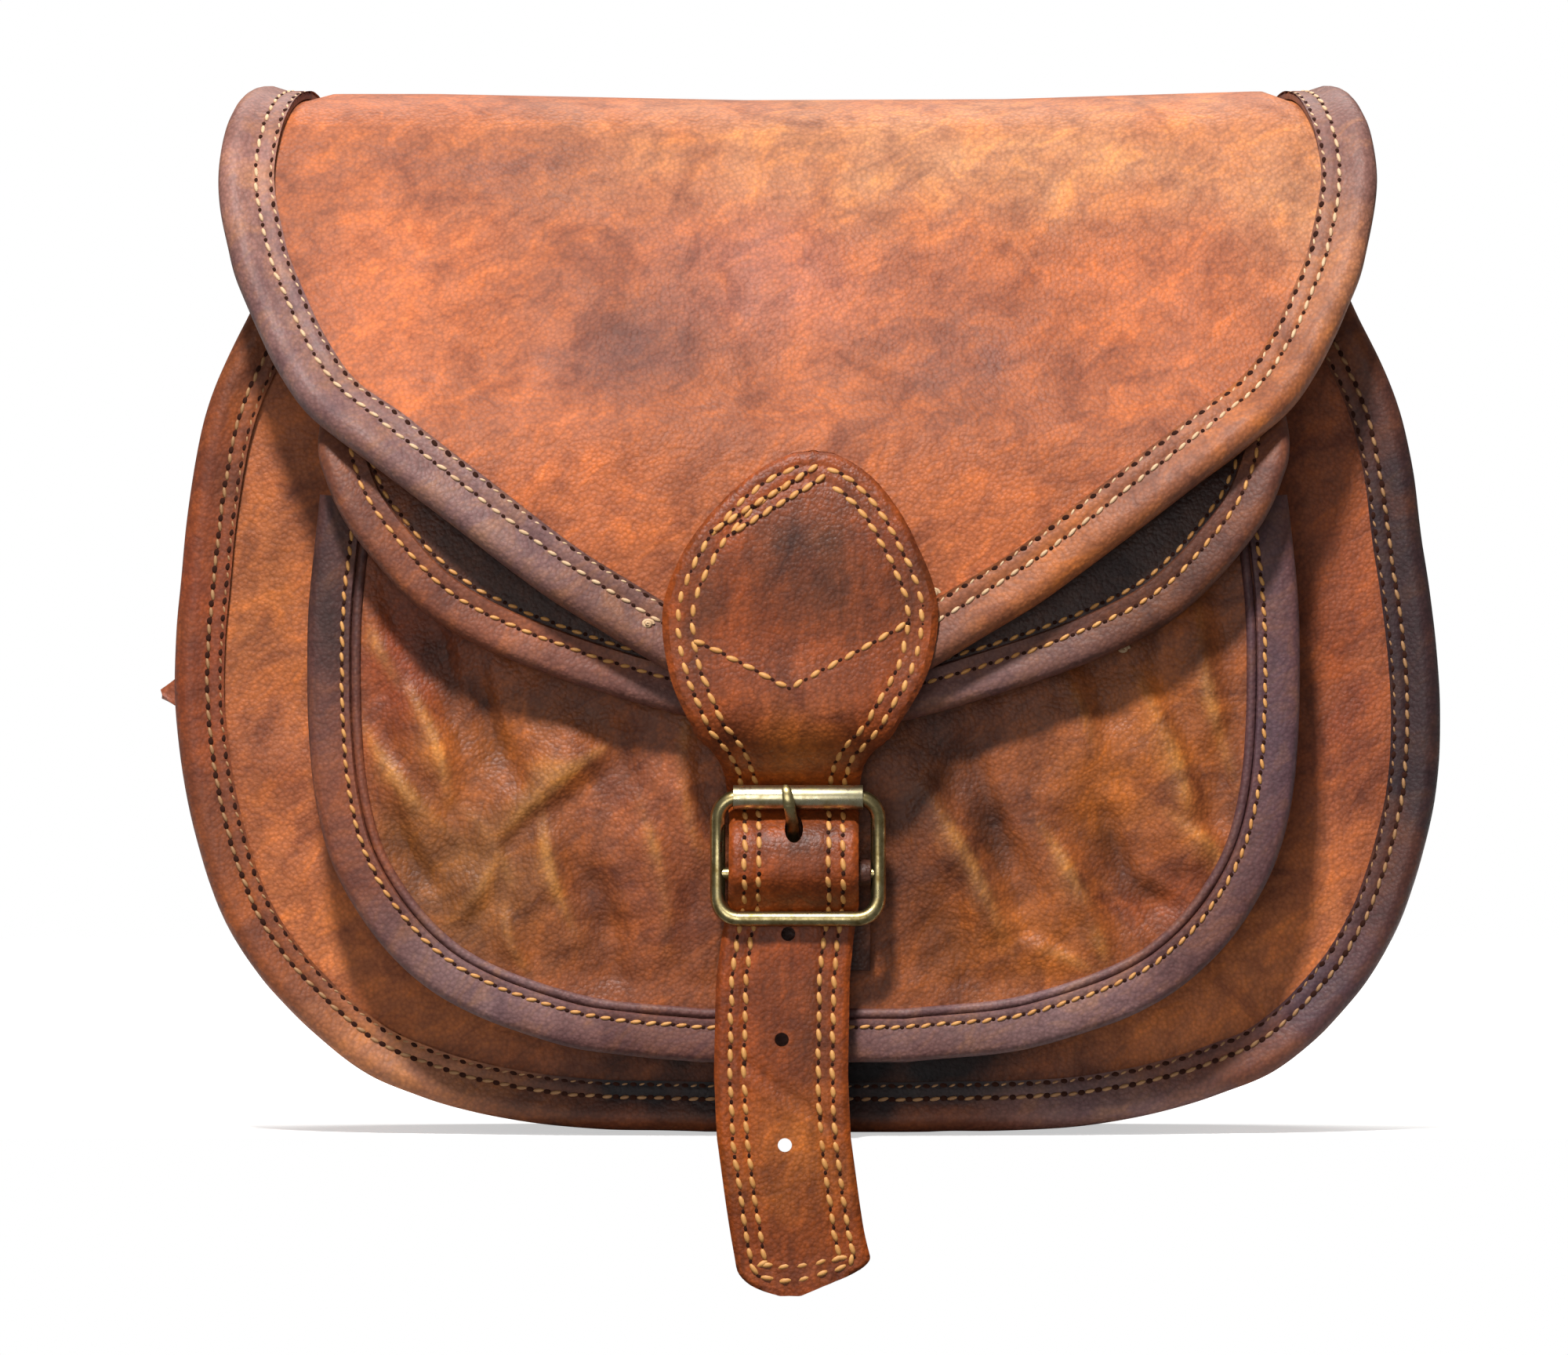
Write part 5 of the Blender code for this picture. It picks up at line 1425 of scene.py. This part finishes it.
class SADDLE_BAG_OT_buckle(bpy.types.Operator):
    """Bends the buckle's frame, rolls its roller and forges its tongue"""
    bl_idname = "saddle_bag.buckle"
    bl_label = "Roller buckle"

    def execute(self, context):
        half_width = STRAP_WIDTH / 2 + 1 * MM + WIRE
        top = BAR_HEIGHT + TO_ROLLER
        heel = BAR_HEIGHT - TO_HEEL

        def bowed(height):
            return FRAME_Y + BOW * np.sin(np.pi * clamp((height - heel) / (top - heel)))

        corners = rounded_rectangle(half_width, heel, top, 4 * MM)
        x, height = even(np.vstack((corners, corners[:1])), 0.9 * MM)[:-1].T
        loop = wire("buckle_frame_brass", place(x - FLAP_SHIFT, bowed(height), height), 1.45 * MM,
                    cyclic=True)
        across = np.linspace(-half_width, half_width, 9) - FLAP_SHIFT
        bar = wire("buckle_bar", place(across, bowed(BAR_HEIGHT), BAR_HEIGHT), BAR_RADIUS)
        only(loop)
        bar.select_set(True)
        bpy.ops.object.join()
        dress(loop, "buckle", "antique_brass", "brass")
        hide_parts("buckle_frame")

        # The roller is a tube whose seam shows as a groove low on its front
        middle = Vector((-FLAP_SHIFT, FRAME_Y, top - RING_HEIGHT))
        bpy.ops.object.select_all(action="DESELECT")
        bpy.ops.mesh.primitive_cylinder_add(vertices=40, radius=ROLLER, depth=2 * (half_width - 1.75 * WIRE),
                                            end_fill_type="NGON", location=middle,
                                            rotation=(0, math.radians(90), 0))
        roller = bpy.context.object
        roller.name = roller.data.name = "buckle_roller_brass"
        bpy.ops.object.transform_apply(location=True, rotation=True, scale=True)
        bpy.ops.object.mode_set(mode="EDIT")
        bpy.ops.mesh.select_all(action="DESELECT")
        bpy.ops.object.mode_set(mode="OBJECT")
        for face in roller.data.polygons:
            face.select = abs(face.normal.x) > 0.9
        bpy.ops.object.mode_set(mode="EDIT")
        bpy.ops.mesh.inset(thickness=0.75 * MM, use_individual=True)
        bpy.ops.mesh.delete(type="ONLY_FACE")
        bpy.ops.mesh.select_non_manifold()
        bpy.ops.mesh.bridge_edge_loops()
        bpy.ops.mesh.select_all(action="SELECT")
        bpy.ops.mesh.normals_make_consistent(inside=False)
        bpy.ops.object.mode_set(mode="OBJECT")
        for face in roller.data.polygons:
            away = face.center - middle
            low = math.degrees(math.atan2(away.z, -away.y))
            outside = math.hypot(away.y, away.z) > ROLLER * 0.9 and abs(face.normal.x) < 0.5
            face.select = outside and -42 < low < -32
        bpy.ops.object.mode_set(mode="EDIT")
        bpy.ops.mesh.inset(thickness=0.05 * MM, depth=-0.3 * MM)
        bpy.ops.object.mode_set(mode="OBJECT")
        ease(roller, 0.22 * MM)
        smooth_shade(roller)
        dress(roller, "roller", "antique_brass", "rubbed brass")
        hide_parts("buckle_roller")

        # The tongue slants to the left and thins towards its tip, and its section is a rounded square
        line = tongue_line()
        out = normals(line)
        run = lengths(line)
        to_tip = run[-1] - run
        half = np.interp(to_tip, (0, 0.8 * MM, 4 * MM, 12 * MM), (0.55, 0.95, 1.15, 1.2)) * MM
        thick = np.interp(to_tip, (0, 1.2 * MM, 5 * MM), (0.3, 0.55, 0.6)) * MM
        middle_x = np.interp(to_tip, (0, 9 * MM), (-3.4, -2.0)) * MM
        rings = []
        for angle in map(math.radians, range(0, 360, 30)):
            a, b = (np.sign(part) * abs(part) ** 0.7 for part in (math.cos(angle), math.sin(angle)))
            flat = line + (thick * b)[:, None] * out
            rings.append(place(middle_x + half * a, flat[:, 0], flat[:, 1]))
        tongue = sweep("buckle_tongue_brass", rings)
        dress(tongue, "tongue", "antique_brass", "brass")
        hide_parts("buckle_tongue")

        chape = dressed_copy("buckle_chape", "buckle_chape_leather", 0.3 * MM)
        dye_light_and_shade(chape, CHAPE_DYE_AND_SHADE, 640)
        dress(chape, "bag", "strap_leather", "strap leather")
        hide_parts("buckle_chape")
        return {"FINISHED"}


class SADDLE_BAG_OT_sling(bpy.types.Operator):
    """Dresses the sling that is tucked in the bag, its rings, tabs, keeper and buckle"""
    bl_idname = "saddle_bag.sling"
    bl_label = "Sling"

    def execute(self, context):
        for node, bevel, body in (
                ("sling_long_strap", 0.45, "ring_right"), ("sling_short_strap", 0.45, "ring_left"),
                ("ring_tab_left", 0.25, "bag"), ("ring_tab_right", 0.25, "bag"),
                ("sling_keeper", 0.3, "keeper")):
            piece = dressed_copy(node, node + "_leather", bevel * MM)
            bends = body.startswith("ring")
            if bends:
                cut_across(piece, np.arange(-29, 9, 2) * MM)
            dye_light_and_shade(piece, SLING_DYE, 660)
            dress(piece, None if bends else body, "strap_leather", "strap leather")
            if bends:
                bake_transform(piece)
            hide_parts(node)

        # The rings' lower bars lie in their tabs, and the rings lean in over the bag's mouth
        lean = math.radians(40)
        for side, word in ((1, "right"), (-1, "left")):
            low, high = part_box("sling_ring_" + word)
            bar_x = side * (max(abs(low[0]), abs(high[0])) - RING_WIRE)
            across, up = rounded_rectangle(11.5 * MM, 0, 15 * MM, 3.2 * MM).T
            points = np.stack((bar_x - side * up * math.sin(lean), across, up * math.cos(lean)), axis=1)
            ring = wire(f"sling_ring_{word}_brass", points, RING_WIRE, cyclic=True)
            dress(ring, "ring_" + word, "antique_brass", "brass")
            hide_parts("sling_ring_" + word)

        low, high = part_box("sling_buckle_frame")
        radius = 1.3 * MM
        half_width = (high[1] - low[1]) / 2 - radius
        shape = rounded_rectangle(half_width, low[0] + radius, high[0] - radius, 2.8 * MM)
        points = as_points(shape[:, 1], shape[:, 0], (low[2] + high[2]) / 2)
        buckle = wire("sling_buckle_brass", points, radius, cyclic=True)
        dress(buckle, "sling_buckle", "antique_brass", "brass")
        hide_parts("sling_buckle_frame")
        tongue = dressed_copy("sling_buckle_tongue", "sling_tongue_brass", 0.25 * MM)
        dress(tongue, "sling_tongue", "antique_brass", "brass")
        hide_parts("sling_buckle_tongue")
        return {"FINISHED"}


class SADDLE_BAG_OT_small_marks(bpy.types.Operator):
    """Adds the small lapped corner of the side binding and the thread's knots"""
    bl_idname = "saddle_bag.small_marks"
    bl_label = "Lapped corner and knots"

    def execute(self, context):
        corner = add_grid("binding_lap_corner", 12, 12)
        flat = coordinates(corner)
        u, v = (flat[:, 0] + 1) / 2, flat[:, 1]
        x = -117.0 * MM - u * 6.6 * MM
        height = 84.5 * MM + v * (1 - 0.9 * u) * 5.5 * MM - u * 0.5 * MM
        move(corner, place(x, -16 * MM + 2.0 * MM * u + 0.6 * MM * v * u, height))
        apply(corner, "SOLIDIFY", thickness=BINDING, offset=0)
        ease(corner, 0.3 * MM, segments=2)
        smooth_shade(corner)
        dye_light_and_shade(corner, CORNER_DYE, 700)
        dress(corner, "bag", "edge_leather", "edge leather")

        # Each knot's place, the surface that it lies on, its lift in mm and its body
        turns = np.linspace(0, 3.5 * np.pi, 40)
        radius = 1.0 - 0.09 * turns
        for name, x, height, surface, lift, body in (
                ("flap_thread_end", -29.5, 97.2, FLAP.point, 2.1, "flap"),
                ("flap_thread_end_right", 24.5, 103.0, FLAP.point, 2.1, "flap"),
                ("pocket_thread_knot", 60.8, 92.6, on_pocket, 0.5, "bag")):
            level = FLAP.level(height * MM) if body == "flap" else height * MM
            points = surface(x * MM + radius * 1.1 * MM * np.cos(turns),
                             level + radius * 0.8 * MM * np.sin(turns), (lift + 0.06 * turns) * MM)
            knot = wire(name, points, 0.35 * MM, sides=2)
            dress(knot, body, "strap_leather", "pale thread")
        return {"FINISHED"}


# The picture's frame: its size, the real size of a pixel at the bag, and where the bag's middle and base lie
IMAGE_WIDTH, IMAGE_HEIGHT = 2000, 1728
PIXEL = 0.15 * MM
BAG_COLUMN, BASE_ROW = 1025, 1445
CAMERA_DISTANCE = 2.2
FLOOR_DROP = 0.4 * MM

# Disk lamps as name, place, size, power in watts and the point that they aim at
LAMPS = (
    ("key light", (-0.2, -0.95, 1.1), 0.2, 35.0, (0, 0, -0.08)),
    ("fill light", (-0.3, -1.9, -0.05), 1.2, 9.5, (0, 0, -0.08)),
    ("floor light", (0, 1.0, 1.3), 1.6, 30.0, (0, 1.2, -0.2)),
)


class SADDLE_BAG_OT_stage(bpy.types.Operator):
    """Sets the pale floor, the soft studio light and the camera"""
    bl_idname = "saddle_bag.stage"
    bl_label = "Stage"

    def execute(self, context):
        scene = context.scene
        scene.view_settings.view_transform = "Standard"
        bpy.ops.object.select_all(action="DESELECT")
        bpy.ops.mesh.primitive_plane_add(size=1)
        floor = context.object
        floor.name = "floor"
        front, far, side = -44 * MM, 1.6, 1.6
        move(floor, [(x, y, -RING_HEIGHT - FLOOR_DROP) for x, y in
                     ((-side, front), (side, front), (-side, far), (side, far))])
        finish = new_material("Pale matt floor", matt_floor, scene.saddle_bag_colours.floor)
        floor.data.materials.append(finish)

        # The world is dim on the bag and white where the camera sees it
        world = bpy.data.worlds.new("Soft studio")
        scene.world = world
        world.use_nodes = True
        tree = world.node_tree
        tree.nodes.clear()
        camera_ray, through_glass = (add_node(tree, "ShaderNodeLightPath", output=ray)
                                     for ray in ("Is Camera Ray", "Is Transmission Ray"))
        seen = add_node(tree, "ShaderNodeMath", {0: camera_ray, 1: through_glass}, operation="MAXIMUM")
        level = add_node(tree, "ShaderNodeMapRange", {"Value": seen, "To Min": 0.13, "To Max": 1.0})
        light = add_node(tree, "ShaderNodeBackground", {"Color": (1, 1, 1, 1), "Strength": level})
        add_node(tree, "ShaderNodeOutputWorld", {"Surface": light})

        for name, place_at, size, power, aim in LAMPS:
            lamp = bpy.data.lights.new(name, "AREA")
            lamp.shape = "DISK"
            lamp.size = size
            lamp.energy = power
            stand = bpy.data.objects.new(name, lamp)
            scene.collection.objects.link(stand)
            stand.location = place_at
            stand.rotation_euler = (Vector(aim) - Vector(place_at)).to_track_quat("-Z", "Y").to_euler()

        camera = bpy.data.cameras.new("camera")
        camera.sensor_width = 36
        camera.lens = 36 * CAMERA_DISTANCE / (IMAGE_WIDTH * PIXEL)
        camera.clip_end = 20
        stand = bpy.data.objects.new("camera", camera)
        scene.collection.objects.link(stand)
        stand.location = ((IMAGE_WIDTH / 2 - BAG_COLUMN) * PIXEL, -30 * MM - CAMERA_DISTANCE,
                          (BASE_ROW - IMAGE_HEIGHT / 2) * PIXEL - RING_HEIGHT)
        stand.rotation_euler = (math.radians(90), 0, 0)
        scene.camera = stand
        return {"FINISHED"}


OPERATORS = (
    SADDLE_BAG_OT_body, SADDLE_BAG_OT_body_edges, SADDLE_BAG_OT_pocket, SADDLE_BAG_OT_pocket_flap,
    SADDLE_BAG_OT_flap, SADDLE_BAG_OT_closure_strap, SADDLE_BAG_OT_buckle, SADDLE_BAG_OT_sling,
    SADDLE_BAG_OT_small_marks, SADDLE_BAG_OT_stage,
)


class SADDLE_BAG_PT_panel(bpy.types.Panel):
    """Lists the bag's sizes, colours and pieces"""
    bl_idname = "SADDLE_BAG_PT_panel"
    bl_label = "Saddle Bag"
    bl_space_type = "VIEW_3D"
    bl_region_type = "UI"
    bl_category = "Saddle Bag"

    def draw(self, context):
        for group in (context.scene.saddle_bag_sizes, context.scene.saddle_bag_colours):
            box = self.layout.box()
            for name in group.__annotations__:
                box.prop(group, name)
        for operator in OPERATORS:
            self.layout.operator(operator.bl_idname)


CLASSES = (SADDLE_BAG_Sizes, SADDLE_BAG_Colours, *OPERATORS, SADDLE_BAG_PT_panel)


def register():
    for kind in CLASSES:
        bpy.utils.register_class(kind)
    bpy.types.Scene.saddle_bag_sizes = bpy.props.PointerProperty(type=SADDLE_BAG_Sizes)
    bpy.types.Scene.saddle_bag_colours = bpy.props.PointerProperty(type=SADDLE_BAG_Colours)


def unregister():
    del bpy.types.Scene.saddle_bag_colours
    del bpy.types.Scene.saddle_bag_sizes
    for kind in reversed(CLASSES):
        bpy.utils.unregister_class(kind)


def main():
    register()
    for operator in OPERATORS:
        getattr(bpy.ops.saddle_bag, operator.bl_idname.removeprefix("saddle_bag."))()


if __name__ == "__main__":
    main()
